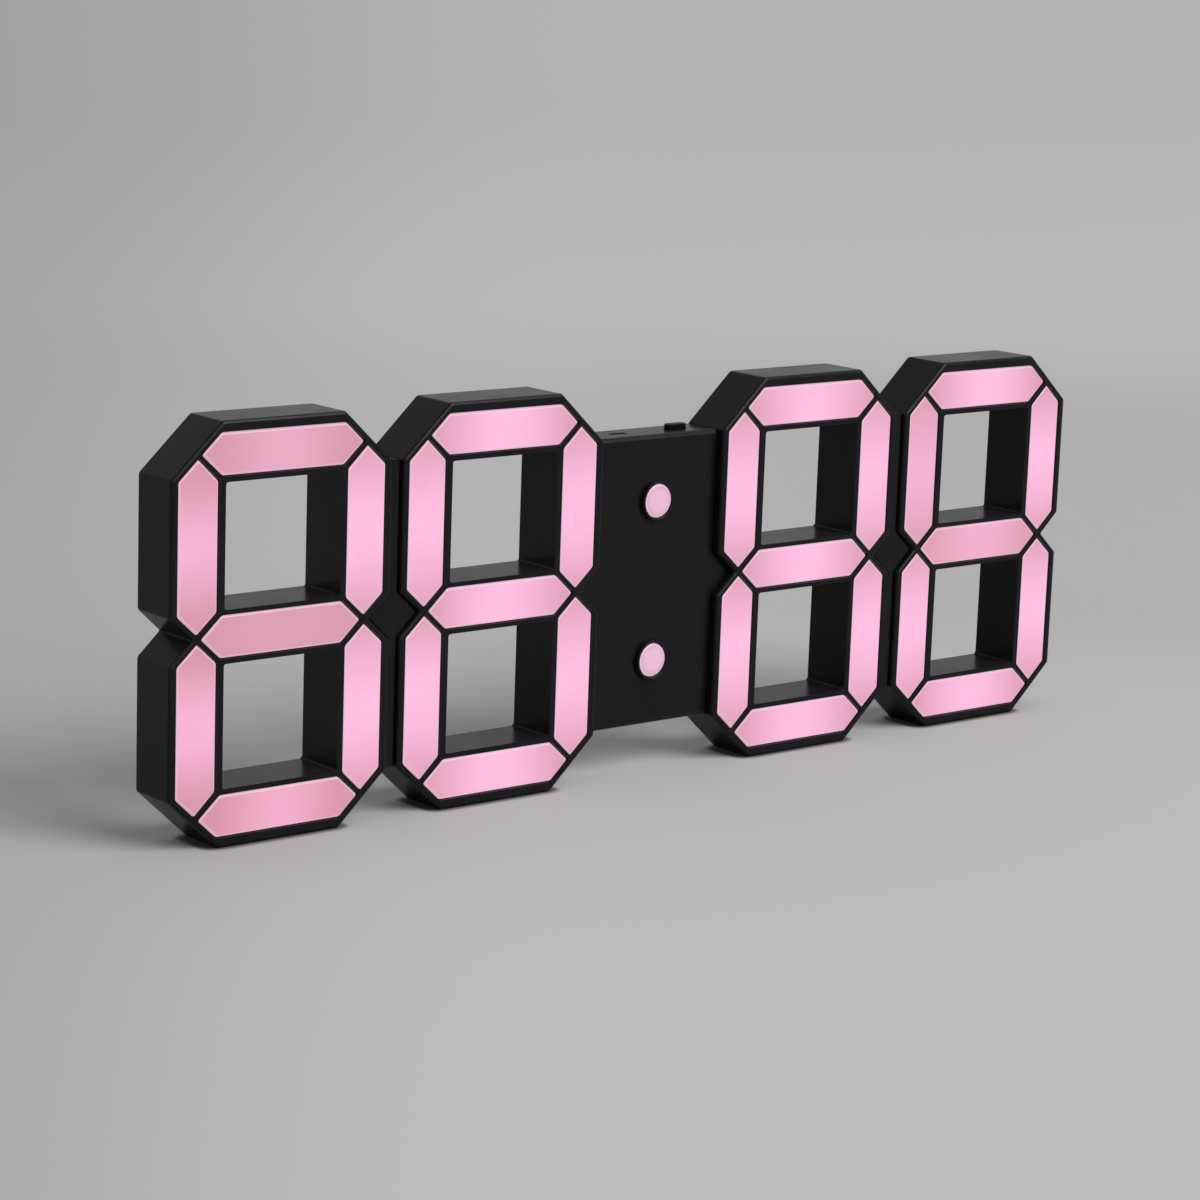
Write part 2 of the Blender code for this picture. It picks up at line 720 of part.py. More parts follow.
def cut_keyhole(cover):
    """Cut a hanging keyhole in the top bar of a cover: a round entry with a slot above it."""
    slot_top = KEYHOLE_Z + KEYHOLE_LENGTH
    start = COVER_START - OVERRUN
    end = CASE_DEPTH + OVERRUN
    cut(cover, rod(KEYHOLE_ROUND, start, end, 0, KEYHOLE_Z, ROUND_STEPS))
    cut(cover, block((-KEYHOLE_SLOT, start, KEYHOLE_Z), (KEYHOLE_SLOT, end, slot_top)))
    cut(cover, rod(KEYHOLE_SLOT, start, end, 0, slot_top))
    return cover


def build_digits():
    """All four digits, from face to rear cover."""
    joined_sides = ((1,), (-1, 1), (-1, 1), (-1,))
    diffuser = finish(digit_diffuser(), "digit_1_diffuser", PINK_LENS, DIGIT_X[0])
    light_box = finish(digit_light_box(), "digit_1_light_box", WHITE_PLASTIC, DIGIT_X[0])
    led_board = finish(digit_led_board(), "digit_1_led_board", CIRCUIT_BOARD, DIGIT_X[0])
    hung_cover = finish(cut_keyhole(digit_rear_cover()), "digit_1_rear_cover", BLACK_PLASTIC, DIGIT_X[0])
    plain_cover = finish(digit_rear_cover(), "digit_2_rear_cover", BLACK_PLASTIC, DIGIT_X[1])
    twin(plain_cover, "digit_3_rear_cover", DIGIT_X[2])
    twin(hung_cover, "digit_4_rear_cover", DIGIT_X[3])
    for number, x in enumerate(DIGIT_X, 1):
        digit_housing(number, x, joined_sides[number - 1])
        if number > 1:
            twin(diffuser, f"digit_{number}_diffuser", x)
            twin(light_box, f"digit_{number}_light_box", x)
            twin(led_board, f"digit_{number}_led_board", x)


def build_screws():
    """Two screws behind each digit and four behind the centre."""
    first = None
    for number, digit_x in enumerate(DIGIT_X, 1):
        for place, (x, z) in zip(("upper", "lower"), screw_places()):
            name = f"digit_{number}_{place}_screw"
            if first is None:
                first = finish(screw(SCREW_TIP), name, STEEL, digit_x + x, z)
            else:
                twin(first, name, digit_x + x, z)
    first = None
    for number, (x, z) in enumerate(centre_screw_places(), 1):
        name = f"centre_screw_{number}"
        if first is None:
            first = finish(screw(CENTRE_SCREW_TIP), name, STEEL, x, z)
        else:
            twin(first, name, x, z)


# Pieces between the digits

def tabs(half_gap):
    """Tabs at both sides of a piece, which go through the slots in the digits' walls."""
    tools = []
    for side in (-1, 1):
        inner = side * (half_gap - GAP - OVERRUN)
        outer = side * (half_gap + WALL)
        for z in (-TAB_Z, TAB_Z):
            low = (min(inner, outer), TAB_START, z - TAB_HALF_HEIGHT)
            high = (max(inner, outer), TAB_START + TAB_THICKNESS, z + TAB_HALF_HEIGHT)
            tools.append(block(low, high))
    return tools


def bridge():
    """Narrow piece between two digits, with a duct for the ribbon through its diamond."""
    body = prism([between_outline(HALF_SEAM, PLATE_HALF_HEIGHT)], BRIDGE_SET_BACK, CASE_DEPTH)
    join(body, *tabs(HALF_SEAM))
    reach = HALF_SEAM + NOTCH_DEPTH
    cut(body, ribbon_slot(-reach, reach))
    return body


def ribbon(name, start, end):
    """Flat ribbon cable between two places along X, laid on the backs of the boards."""
    low = (start, RIBBON_START, -RIBBON_HALF_HEIGHT)
    high = (end, RIBBON_END, RIBBON_HALF_HEIGHT)
    return finish(block(low, high), name, CABLE_GREY)


def build_links():
    """The two bridges and the four ribbons."""
    left = finish(bridge(), "left_bridge", BLACK_PLASTIC, -SEAM_X)
    twin(left, "right_bridge", SEAM_X)
    reach = WINDOW_HALF_WIDTH + RIBBON_FROM_WINDOW
    header_edge = HEADER_X - HEADER_HALF_WIDTH
    ribbon("left_outer_ribbon", DIGIT_X[0] + reach, DIGIT_X[1] - reach)
    ribbon("left_inner_ribbon", DIGIT_X[1] + reach, -header_edge)
    ribbon("right_inner_ribbon", header_edge, DIGIT_X[2] - reach)
    ribbon("right_outer_ribbon", DIGIT_X[2] + reach, DIGIT_X[3] - reach)


# Centre section

def centre_housing():
    """Centre casing: face with two collars, and a top wall with the socket slot and button hole."""
    outline = between_outline(HALF_CENTRE, PLATE_HALF_HEIGHT)
    case = prism([outline], PLATE_SET_BACK, CASE_DEPTH)
    bevel_rims(case, PLATE_ROUND, (PLATE_SET_BACK, CASE_DEPTH), 2, PLATE_HALF_HEIGHT)
    cut(case, prism([offset(outline, -WALL)], PLATE_BACK, CASE_DEPTH + OVERRUN))
    join(case, *tabs(HALF_CENTRE))
    tube = COLON_FLANGE + GAP
    for z in (-COLON_Z, COLON_Z):
        join(case, rod(COLLAR, PLATE_SET_BACK - COLLAR_PROUD, PLATE_SET_BACK + OVERRUN, 0, z, ROUND_STEPS))
        join(case, rod(tube + TUBE_WALL, PLATE_BACK - OVERRUN, MAIN_BOARD_START - GAP, 0, z, ROUND_STEPS))
        cut(case, rod(COLON_LENS + GAP, -OVERRUN, MAIN_BOARD_START, 0, z, ROUND_STEPS))
        cut(case, rod(tube, PLATE_BACK, MAIN_BOARD_START, 0, z, ROUND_STEPS))
    for x, z in centre_screw_places():
        join(case, rod(PILLAR, PLATE_BACK - OVERRUN, MAIN_BOARD_START - GAP, x, z))
        cut(case, rod(SCREW_SHANK + GAP, CENTRE_SCREW_TIP - GAP, MAIN_BOARD_START, x, z))
    cut_top_openings(case)
    reach = HALF_CENTRE + NOTCH_DEPTH
    for side in (-1, 1):
        cut(case, ribbon_slot(side * (reach - RIBBON_SLOT_LENGTH), side * reach))
    return finish(case, "centre_housing", BLACK_PLASTIC)


def cut_top_openings(case):
    """Cut the socket slot and the button hole through the top wall."""
    low = PLATE_HALF_HEIGHT - WALL - OVERRUN
    high = PLATE_HALF_HEIGHT + OVERRUN
    y = at_depth(TOP_PARTS_DEPTH)
    cut(case, prism([stadium(PORT_LENGTH, PORT_WIDTH, PORT_X, y)], low, high, "Z"))
    hole = stadium(TOP_BUTTON_LENGTH + 2 * GAP, TOP_BUTTON_WIDTH + 2 * GAP, TOP_BUTTON_X, y)
    cut(case, prism([hole], low, high, "Z"))


def centre_rear_cover():
    """Lid of the centre casing, with holes for the battery door, the buttons and the sound."""
    outline = between_outline(HALF_CENTRE, PLATE_HALF_HEIGHT)
    cover = prism([offset(outline, -WALL - GAP)], COVER_START, CASE_DEPTH)
    for x, z in centre_screw_places():
        screw_pillar(cover, x, z, MAIN_BOARD_END)
    through = (COVER_START - OVERRUN, CASE_DEPTH + OVERRUN)
    cut(cover, rod(DOOR + GAP, *through, 0, CELL_Z, ROUND_STEPS))
    lug_path = block(
        (-DOOR - LUG_REACH - GAP, through[0], -LUG_WIDTH / 2 - GAP),
        (DOOR + LUG_REACH + GAP, through[1], LUG_WIDTH / 2 + GAP),
    )
    lug_path.matrix_world = Matrix.Translation((0, 0, CELL_Z)) @ Matrix.Rotation(UNLOCK_ANGLE, 4, "Y")
    cut(cover, lug_path)
    for x in (-REAR_BUTTON_X, REAR_BUTTON_X):
        cut(cover, rod(REAR_BUTTON + GAP, *through, x, REAR_BUTTON_Z, SMALL_STEPS))
    for count in (-1, 0, 1):
        z = BUZZER_Z + count * SOUND_SLOT_PITCH
        low = (-SOUND_SLOT_LENGTH / 2, through[0], z - SOUND_SLOT_WIDTH / 2)
        high = (SOUND_SLOT_LENGTH / 2, through[1], z + SOUND_SLOT_WIDTH / 2)
        cut(cover, block(low, high))
    return finish(cover, "centre_rear_cover", BLACK_PLASTIC)


def colon_lens():
    """Round lens with a flange behind the face, turned about Y."""
    front = at_depth(PLATE_SET_BACK - COLON_LENS_PROUD)
    flange = at_depth(PLATE_BACK + GAP)
    profile = [
        (0, front),
        (COLON_LENS - LENS_EDGE, front),
        (COLON_LENS, front + LENS_EDGE),
        (COLON_LENS, flange),
        (COLON_FLANGE, flange),
        (COLON_FLANGE, flange + COLON_FLANGE_THICKNESS),
        (0, flange + COLON_FLANGE_THICKNESS),
    ]
    return turned(profile, ROUND_STEPS)


def main_board():
    """Main circuit board with the colon LEDs in front, and chips and ribbon headers behind."""
    outline = rectangle(MAIN_BOARD_HALF_WIDTH, -MAIN_BOARD_HALF_HEIGHT, MAIN_BOARD_HALF_HEIGHT)
    board = prism([outline], MAIN_BOARD_START, MAIN_BOARD_END)
    inside = MAIN_BOARD_END - BOARD / 2
    for z in (-COLON_Z, COLON_Z):
        join(board, led_package(0, z, True, MAIN_BOARD_START))
    for x in (-HEADER_X, HEADER_X):
        low = (x - HEADER_HALF_WIDTH, inside, -HEADER_HALF_HEIGHT)
        high = (x + HEADER_HALF_WIDTH, RIBBON_START - GAP, HEADER_HALF_HEIGHT)
        join(board, block(low, high))
    for x in (-CHIP_X, CHIP_X):
        low = (x - CHIP_WIDTH / 2, inside, CHIP_Z - CHIP_LENGTH / 2)
        high = (x + CHIP_WIDTH / 2, MAIN_BOARD_END + CHIP_HEIGHT, CHIP_Z + CHIP_LENGTH / 2)
        join(board, block(low, high))
    for x, z in centre_screw_places():
        cut(board, rod(BOARD_HOLE, MAIN_BOARD_START - OVERRUN, MAIN_BOARD_END + OVERRUN, x, z))
    return finish(board, "main_board", CIRCUIT_BOARD)


def power_socket():
    """Micro-USB style socket: a steel shell open at the top, with a tongue inside."""
    mouth = PLATE_HALF_HEIGHT - WALL - GAP
    bottom = mouth - SOCKET_DEPTH
    half = SOCKET_LENGTH / 2
    start = MAIN_BOARD_END + GAP
    end = start + SOCKET_THICKNESS
    shell = block((PORT_X - half, start, bottom), (PORT_X + half, end, mouth))
    inner = half - SOCKET_SHELL
    low = (PORT_X - inner, start + SOCKET_SHELL, bottom + 2 * SOCKET_SHELL)
    high = (PORT_X + inner, end - SOCKET_SHELL, mouth + OVERRUN)
    cut(shell, block(low, high))
    middle = (start + end) / 2
    low = (PORT_X - TONGUE_LENGTH / 2, middle - TONGUE_THICKNESS / 2, bottom + SOCKET_SHELL)
    high = (PORT_X + TONGUE_LENGTH / 2, middle + TONGUE_THICKNESS / 2, mouth - 2 * SOCKET_SHELL)
    join(shell, block(low, high))
    return finish(shell, "power_socket", STEEL)


# Buttons and switches

def top_heights():
    """Heights of the top button's stack, from its flange down to the switch's floor."""
    flange_top = PLATE_HALF_HEIGHT - WALL - GAP
    flange_bottom = flange_top - TOP_BUTTON_FLANGE
    foot_bottom = flange_bottom - TOP_BUTTON_FOOT_HEIGHT
    plunger_top = foot_bottom - GAP
    switch_top = plunger_top - PLUNGER_PROUD
    return flange_top, flange_bottom, foot_bottom, plunger_top, switch_top


def plunger_sizes():
    """Half length of the top plunger, and the two depths that it lies between."""
    half = TOP_BUTTON_FOOT_LENGTH / 2
    start = TOP_PARTS_DEPTH - TOP_BUTTON_FOOT_WIDTH / 2
    return half, start, start + TOP_BUTTON_FOOT_WIDTH


def top_button():
    """Push button with round ends, a flange under the top wall and a foot over the plunger."""
    flange_top, flange_bottom, foot_bottom, _, _ = top_heights()
    y = at_depth(TOP_PARTS_DEPTH)
    head = stadium(TOP_BUTTON_LENGTH, TOP_BUTTON_WIDTH, TOP_BUTTON_X, y)
    body = prism([head], flange_top - OVERRUN, PLATE_HALF_HEIGHT + TOP_BUTTON_PROUD, "Z")
    lips = 2 * TOP_BUTTON_LIP
    flange = stadium(TOP_BUTTON_LENGTH + lips, TOP_BUTTON_WIDTH + lips, TOP_BUTTON_X, y)
    join(body, prism([flange], flange_bottom, flange_top, "Z"))
    half, start, end = plunger_sizes()
    low = (TOP_BUTTON_X - half, start, foot_bottom)
    high = (TOP_BUTTON_X + half, end, flange_top - OVERRUN / 2)
    join(body, block(low, high))
    return finish(body, "top_button", BLACK_PLASTIC)


def top_plunger():
    """Plunger of the top switch, which the button's foot pushes down."""
    _, _, _, plunger_top, switch_top = top_heights()
    half, start, end = plunger_sizes()
    low = (TOP_BUTTON_X - half, start, switch_top - PLUNGER_SUNK)
    body = block(low, (TOP_BUTTON_X + half, end, plunger_top))
    return finish(body, "top_switch_plunger", DARK_NYLON)


def top_switch():
    """Right-angle switch on the back of the main board, with a well for its plunger."""
    switch_top = top_heights()[-1]
    half = TOP_SWITCH_LENGTH / 2
    start = MAIN_BOARD_END + GAP
    low = (TOP_BUTTON_X - half, start, switch_top - TOP_SWITCH_HEIGHT)
    body = block(low, (TOP_BUTTON_X + half, start + SWITCH_THICKNESS, switch_top))
    reach, plunger_start, plunger_end = plunger_sizes()
    floor = switch_top - PLUNGER_SUNK - PLUNGER_ROOM
    low = (TOP_BUTTON_X - reach - GAP, plunger_start - GAP, floor)
    high = (TOP_BUTTON_X + reach + GAP, plunger_end + GAP, switch_top + OVERRUN)
    cut(body, block(low, high))
    return finish(body, "top_switch", DARK_NYLON)


def rear_depths():
    """Depths of the rear switch's face, its plunger's ends and the button's inner end."""
    switch_face = MAIN_BOARD_END + GAP + SWITCH_THICKNESS
    plunger_start = switch_face - PLUNGER_SUNK
    plunger_end = switch_face + PLUNGER_PROUD
    return switch_face, plunger_start, plunger_end, plunger_end + GAP


def build_rear_buttons():
    """Two round setting buttons at the back, with their switches and plungers."""
    switch_face, plunger_start, plunger_end, stem_start = rear_depths()
    flange_end = COVER_START - GAP
    for side, name in ((-1, "minus"), (1, "plus")):
        x = side * REAR_BUTTON_X
        z = REAR_BUTTON_Z
        stem = rod(REAR_BUTTON, stem_start, CASE_DEPTH - REAR_BUTTON_SUNK)
        join(stem, rod(REAR_BUTTON_FLANGE, flange_end - REAR_BUTTON_FLANGE_THICKNESS, flange_end))
        finish(stem, f"{name}_button", BLACK_PLASTIC, x, z)
        finish(rod(REAR_PLUNGER, plunger_start, plunger_end), f"{name}_switch_plunger", DARK_NYLON, x, z)
        half = REAR_SWITCH / 2
        body = block((-half, MAIN_BOARD_END + GAP, -half), (half, switch_face, half))
        cut(body, rod(REAR_PLUNGER + GAP, plunger_start - PLUNGER_ROOM, switch_face + OVERRUN))
        finish(body, f"{name}_switch", DARK_NYLON, x, z)


# Buzzer, cell and battery door

def buzzer():
    """Round buzzer with a sound hole in its back."""
    start = MAIN_BOARD_END + GAP
    end = start + BUZZER_HEIGHT
    can = rod(BUZZER, start, end, steps=ROUND_STEPS)
    cut(can, rod(BUZZER_HOLE, end - BUZZER_HOLE, end + OVERRUN))
    return finish(can, "buzzer", DARK_NYLON, 0, BUZZER_Z)


def cell_holder():
    """Round cup on the main board that the coin cell lies in."""
    start = at_depth(MAIN_BOARD_END + GAP)
    floor = start + HOLDER_FLOOR
    rim = at_depth(CELL_END)
    inner = CELL + GAP
    profile = [
        (0, start),
        (inner + HOLDER_WALL, start),
        (inner + HOLDER_WALL, rim),
        (inner, rim),
        (inner, floor),
        (0, floor),
    ]
    return finish(turned(profile, ROUND_STEPS), "cell_holder", DARK_NYLON, 0, CELL_Z)


def coin_cell():
    """Backup cell."""
    body = rod(CELL, CELL_START, CELL_END, steps=ROUND_STEPS)
    return finish(body, "coin_cell", STEEL, 0, CELL_Z)


def battery_door():
    """Round door that holds the cell, with two lugs behind the cover and a coin slot in its face."""
    inner = CELL_END + GAP
    door = rod(DOOR, inner, CASE_DEPTH, steps=ROUND_STEPS)
    low = (-DOOR - LUG_REACH, inner, -LUG_WIDTH / 2)
    high = (DOOR + LUG_REACH, COVER_START - GAP, LUG_WIDTH / 2)
    join(door, block(low, high))
    half = COIN_SLOT_LENGTH / 2
    low = (-half, CASE_DEPTH - COIN_SLOT_DEPTH, -COIN_SLOT_WIDTH / 2)
    high = (half, CASE_DEPTH + OVERRUN, COIN_SLOT_WIDTH / 2)
    cut(door, block(low, high))
    return finish(door, "battery_door", BLACK_PLASTIC, 0, CELL_Z)


def build_centre():
    """Everything between the two middle digits."""
    centre_housing()
    centre_rear_cover()
    upper = finish(colon_lens(), "upper_colon_lens", PINK_LENS, 0, COLON_Z)
    twin(upper, "lower_colon_lens", 0, -COLON_Z)
    main_board()
    power_socket()
    top_button()
    top_plunger()
    top_switch()
    build_rear_buttons()
    buzzer()
    cell_holder()
    coin_cell()
    battery_door()


def main():
    """Build the clock."""
    build_digits()
    build_links()
    build_centre()
    build_screws()


main()
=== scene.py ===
"""LED wall clock with four seven-segment digits, dressed piece by piece.

Metres, +Z up. X runs to the right seen from the front, and the front looks towards -Y.
Each operator makes one group of pieces round the loaded solids, and the panel lists them.
"""

import math

import bmesh
import bpy
from bpy.props import FloatProperty, FloatVectorProperty, PointerProperty
from mathutils import Matrix, Vector


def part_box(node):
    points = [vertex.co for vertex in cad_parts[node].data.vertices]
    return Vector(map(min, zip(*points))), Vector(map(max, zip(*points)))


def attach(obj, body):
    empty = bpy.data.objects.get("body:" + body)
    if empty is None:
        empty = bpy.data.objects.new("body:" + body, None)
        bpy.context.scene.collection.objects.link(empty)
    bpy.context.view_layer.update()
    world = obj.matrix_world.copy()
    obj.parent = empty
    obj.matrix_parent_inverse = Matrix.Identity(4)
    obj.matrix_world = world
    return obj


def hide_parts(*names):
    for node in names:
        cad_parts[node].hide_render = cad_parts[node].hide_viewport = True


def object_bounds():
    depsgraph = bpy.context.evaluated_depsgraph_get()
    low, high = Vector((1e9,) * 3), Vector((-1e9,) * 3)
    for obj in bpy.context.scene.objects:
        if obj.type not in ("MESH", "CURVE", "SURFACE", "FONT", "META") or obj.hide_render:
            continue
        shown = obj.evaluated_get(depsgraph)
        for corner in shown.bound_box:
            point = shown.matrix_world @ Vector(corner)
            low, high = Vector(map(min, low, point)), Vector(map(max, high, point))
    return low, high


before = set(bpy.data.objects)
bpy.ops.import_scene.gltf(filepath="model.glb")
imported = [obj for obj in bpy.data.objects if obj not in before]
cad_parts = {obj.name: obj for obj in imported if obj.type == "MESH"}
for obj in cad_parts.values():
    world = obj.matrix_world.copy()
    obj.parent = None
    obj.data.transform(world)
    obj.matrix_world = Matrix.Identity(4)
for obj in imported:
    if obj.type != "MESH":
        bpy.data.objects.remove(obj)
CAD_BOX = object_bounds()

bl_info = {
    "name": "LED Wall Clock",
    "version": (1, 0, 0),
    "blender": (4, 5, 0),
    "location": "View3D > Sidebar > Clock",
    "description": "Four-digit LED wall clock made of separate moulded pieces",
    "category": "Add Mesh",
}

# Names, and places that follow from the solids
DIGITS = (1, 2, 3, 4)
SIDES = ("left", "right")
FRONT = CAD_BOX[0].y
BACK = CAD_BOX[1].y
MIDDLE_HEIGHT = (CAD_BOX[0].z + CAD_BOX[1].z) / 2

# Tolerances
MERGE = 0.000001
CLOSE = 0.00003
FLAT_ANGLE = math.radians(1)
SLIGHT_ANGLE = math.radians(12)
SQUARE_ANGLE = math.radians(70)
SMOOTH_ANGLE = math.radians(40)

# Digit case: depths, and the least share of the whole depth in a window's wall
CASE_ROUND = 0.0009
CASE_FACE = 0.0016
THROUGH_SHARE = 0.9

# Segment lenses
LENS_BEVEL = 0.0005
LENS_FINE_EDGE = 0.00012
SQUARE_TO_FRONT = -0.99

# Centre case
CENTRE_FINE_EDGE = 0.0002
ROUND_REACH = 0.002
TOP_OPENINGS_REACH = 0.0245

# Colon dots, their profiles given from the front: a reach and a depth
DOT_SHOWN = 0.0020
DOT_FLANGE = 0.0007
DOT_FLANGE_THICKNESS = 0.0010
DOT_DOME_SHARES = ((0, 0), (0.45, 0.00004), (0.75, 0.00012))
DOT_EDGE_INSETS = ((0.0006, 0.00026), (0.00022, 0.00042), (0, 0.0008))
DOT_RIM = 0.0006
DOT_RIM_DEPTH = 0.0009
DOT_MAP_SHARE = 0.5
DOT_STEPS = 72

# Setting buttons, their dish given from the back: a share of the radius and a depth
REAR_BUTTON_RADIUS = 0.0025
REAR_BUTTON_DISH = (
    (0, 0.00035),
    (0.35, 0.00030),
    (0.62, 0.00016),
    (0.78, 0.00002),
    (0.86, 0),
    (0.95, 0.00008),
    (1, 0.0003),
)
REAR_FLANGE_BACK = 0.00735
REAR_FLANGE_THICKNESS = 0.0005
REAR_BUTTON_STEPS = 48

# Screws
SCREW_HEAD = 0.0012
SCREW_SHANK = 0.0008
SCREW_TIP_SHARE = 0.3
HEAD_FLAT_SHARE = 0.72
HEAD_SHOULDER_SHARE = 0.93
HEAD_SHOULDER_DROP = 0.00012
HEAD_EDGE_DROP = 0.0004
RECESS_DEPTH = 0.0007
RECESS_TAPER = 0.8
RECESS_CELLS = 3
HEAD_CELLS = 5
HEAD_TOP_DEPTH = 0.0003

# Power socket
INLET_EDGE = 0.0001
INLET_WALL = 0.0002

# Segment places in a digit, from its middle
BAR_RISE = 0.0558
UPRIGHT_RISE = 0.0277
UPRIGHT_REACH = 0.0307
SEGMENT_HALF_LENGTH = 0.030
SEGMENT_HALF_WIDTH = 0.009
SEGMENTS = {
    "middle": (0, 0),
    "top": (0, BAR_RISE),
    "bottom": (0, -BAR_RISE),
    "upper left": (-UPRIGHT_REACH, UPRIGHT_RISE),
    "upper right": (UPRIGHT_REACH, UPRIGHT_RISE),
    "lower left": (-UPRIGHT_REACH, -UPRIGHT_RISE),
    "lower right": (UPRIGHT_REACH, -UPRIGHT_RISE),
}
GLOW_REACH = 0.037
# How much weaker some lenses are lit, how much rosier, and the share of their length that glows
WEAKER_SEGMENTS = {
    (1, "middle"): (0.89, 0.0, 1.0),
    (1, "top"): (0.58, 0.01, 0.71),
    (1, "upper left"): (0.30, 0.045, 0.68),
    (1, "bottom"): (0.34, 0.065, 0.70),
    (1, "lower left"): (0.20, 0.055, 0.70),
    (4, "middle"): (0.38, 0.05, 1.0),
    (4, "upper left"): (0.39, 0.01, 1.0),
}
EVENLY_LIT = (0.0, 0.0, 1.0)

# Light in the lenses
GLOW_SIDES = (0.0085, 0.005)
DOT_DIM_SHARE = 0.55
RIM_SHARE = 0.65
SPREAD_LIGHT_LOST = 0.6

# Finishes: the ranges that masks are drawn from, and what the masks change
NOISE_RANGE = (0.3, 0.7)
SPOTS_RANGE = (0.4, 0.6)
LEVEL_RANGE = (0.85, 0.99)
PATCH_PALER = 1.35
PATCH_ROUGHER = 0.06
WORN_SMOOTHER = 0.12
DUST_AND_SHEEN_ROUGHNESS = 0.75
DULL_SHARE = 0.62
POLISHED_SHARE = 1.3

# Boards and ribbons
PACKAGE_HEIGHT = 0.0008
MAIN_BOARD_THICKNESS = 0.0016
TRACE_CELLS = 260.0
TRACES_PER_CELL = 4.0
TRACE_RANGE = (0.35, 0.5)
WIRE_PITCH = 0.001
MARKED_WIRE_RISE = 0.0022

# Camera
CAMERA_PLACE = Vector((-0.7297, -0.8557, 0.2861))
CAMERA_AZIMUTH = math.radians(-39.77)
CAMERA_ELEVATION = math.radians(11.50)
CAMERA_ROLL = math.radians(2.04)
CAMERA_LENS = 103.23
SENSOR_WIDTH = 36.0

# Stage
FLOOR_HALF = 40.0
FLOOR_CELLS = 24
SEEN_SURROUNDINGS = 0.84
LAMP_DIRECTION = Vector((0.30, -0.75, 0.62))

# Painted shade on the floor: ranges in metres, of the slope to the side and of openness, some with the two
# values that they turn into
FAR_RANGE = (-0.6, 3.0)
FAR_SHARE = 0.86
LEFT_RANGE = (0.0, -0.2, 0.0, 0.20)
BAND_START = (1.18, 1.42)
BAND_END = (2.5, 1.95)
BAND_DEPTH = (-0.17, 0.1, 0.03, 0.145)
CONTACT_SHADE_REACH = 0.004
CONTACT_SHADE_RANGE = (0.95, 0.5, 0.0, 0.75)
NEAREST_FLOOR = 0.4


# Settings that a user would change

def length_setting(name, description, default, low, high):
    """A small length, shown with enough places."""
    return FloatProperty(
        name=name,
        description=description,
        default=default,
        min=low,
        max=high,
        precision=5,
        subtype="DISTANCE",
        unit="LENGTH",
    )


def colour_setting(name, description, default):
    """A colour, shown as a swatch."""
    return FloatVectorProperty(
        name=name,
        description=description,
        default=default,
        min=0,
        max=1,
        subtype="COLOR",
    )


class CaseSettings(bpy.types.PropertyGroup):
    """Moulded black pieces."""

    corner_round: length_setting(
        "Corner round", "Rounding of the case's upright corners", 0.0005, 0.0001, 0.0008
    )
    window_round: length_setting(
        "Window corner round", "Rounding inside the corners of the windows", 0.0008, 0.0002, 0.0015
    )
    window_edge: length_setting(
        "Window edge", "Rounding of the windows' front and back edges", 0.00035, 0.0001, 0.0006
    )
    fine_edge: length_setting("Fine edge", "Rounding of small moulded edges", 0.00015, 0.00005, 0.0003)
    colour: colour_setting("Plastic", "Colour of the black moulded plastic", (0.0050, 0.0050, 0.0051))
    worn_colour: colour_setting(
        "Worn edges", "Colour of the plastic where handling has polished its edges", (0.030, 0.029, 0.029)
    )
    # Painted sheen: this dusting colour also lightens level tops in place of their grazing reflection.
    dust_and_sheen_colour: colour_setting(
        "Dust", "Colour of the dust that settles on level faces", (0.19, 0.185, 0.175)
    )
    spill_colour: colour_setting(
        "Spilled light",
        "Colour of the light that the rims of the lens openings catch",
        (0.055, 0.001, 0.013),
    )


class LensSettings(bpy.types.PropertyGroup):
    """Lit pink lenses."""

    body: colour_setting("Lens body", "Colour of the milky lens plastic itself", (0.30, 0.13, 0.19))
    bright: colour_setting("Bright glow", "Colour of the light over the LEDs", (0.70, 0.385, 0.56))
    dim: colour_setting("Dim glow", "Colour of the light towards a lens's ends", (0.36, 0.175, 0.22))
    rim: colour_setting("Edge light", "Colour of the light in a lens's bevelled edge", (0.65, 0.50, 0.59))
    dot: colour_setting(
        "Dot glow", "Colour of the light in the faces of the colon dots", (0.53, 0.36, 0.48)
    )
    dot_rim: colour_setting(
        "Dot edge light", "Colour of the light in the edges of the colon dots", (0.66, 0.54, 0.60)
    )
    rose: colour_setting(
        "Rosy tint", "Colour that the light of the weaker lenses leans to", (0.62, 0.0, 0.0)
    )
    corner_round: length_setting(
        "Lens corner round", "Rounding of a lens's corners, seen from the front", 0.0004, 0.0001, 0.0008
    )


class FixingSettings(bpy.types.PropertyGroup):
    """Screws and buttons."""

    cross_half: length_setting(
        "Cross half length", "Half length of the cross recess in a screw head", 0.0011, 0.0006, 0.0013
    )
    button_edge: length_setting("Button edge", "Rounding of the buttons' edges", 0.0004, 0.0001, 0.0006)
    button_colour: colour_setting("Buttons", "Colour of the push buttons", (0.0025, 0.0025, 0.0026))
    steel: colour_setting("Steel", "Colour of the plated screws", (0.56, 0.56, 0.58))


class StageSettings(bpy.types.PropertyGroup):
    """Floor, light and camera."""

    floor: colour_setting("Floor", "Colour of the plain floor", (0.535, 0.535, 0.535))
    surroundings: FloatProperty(
        name="Surroundings",
        description="Strength of the soft light from all round",
        default=0.46,
        min=0,
        max=2,
    )
    lamp_strength: FloatProperty(
        name="Lamp",
        description="Strength of the wide soft lamp",
        default=2.6,
        min=0,
        max=10,
    )
    lamp_spread: FloatProperty(
        name="Lamp spread",
        description="Angle that the soft lamp fills, seen from the clock",
        default=math.radians(42),
        min=0,
        max=math.radians(120),
        subtype="ANGLE",
        unit="ROTATION",
    )


# Shapes

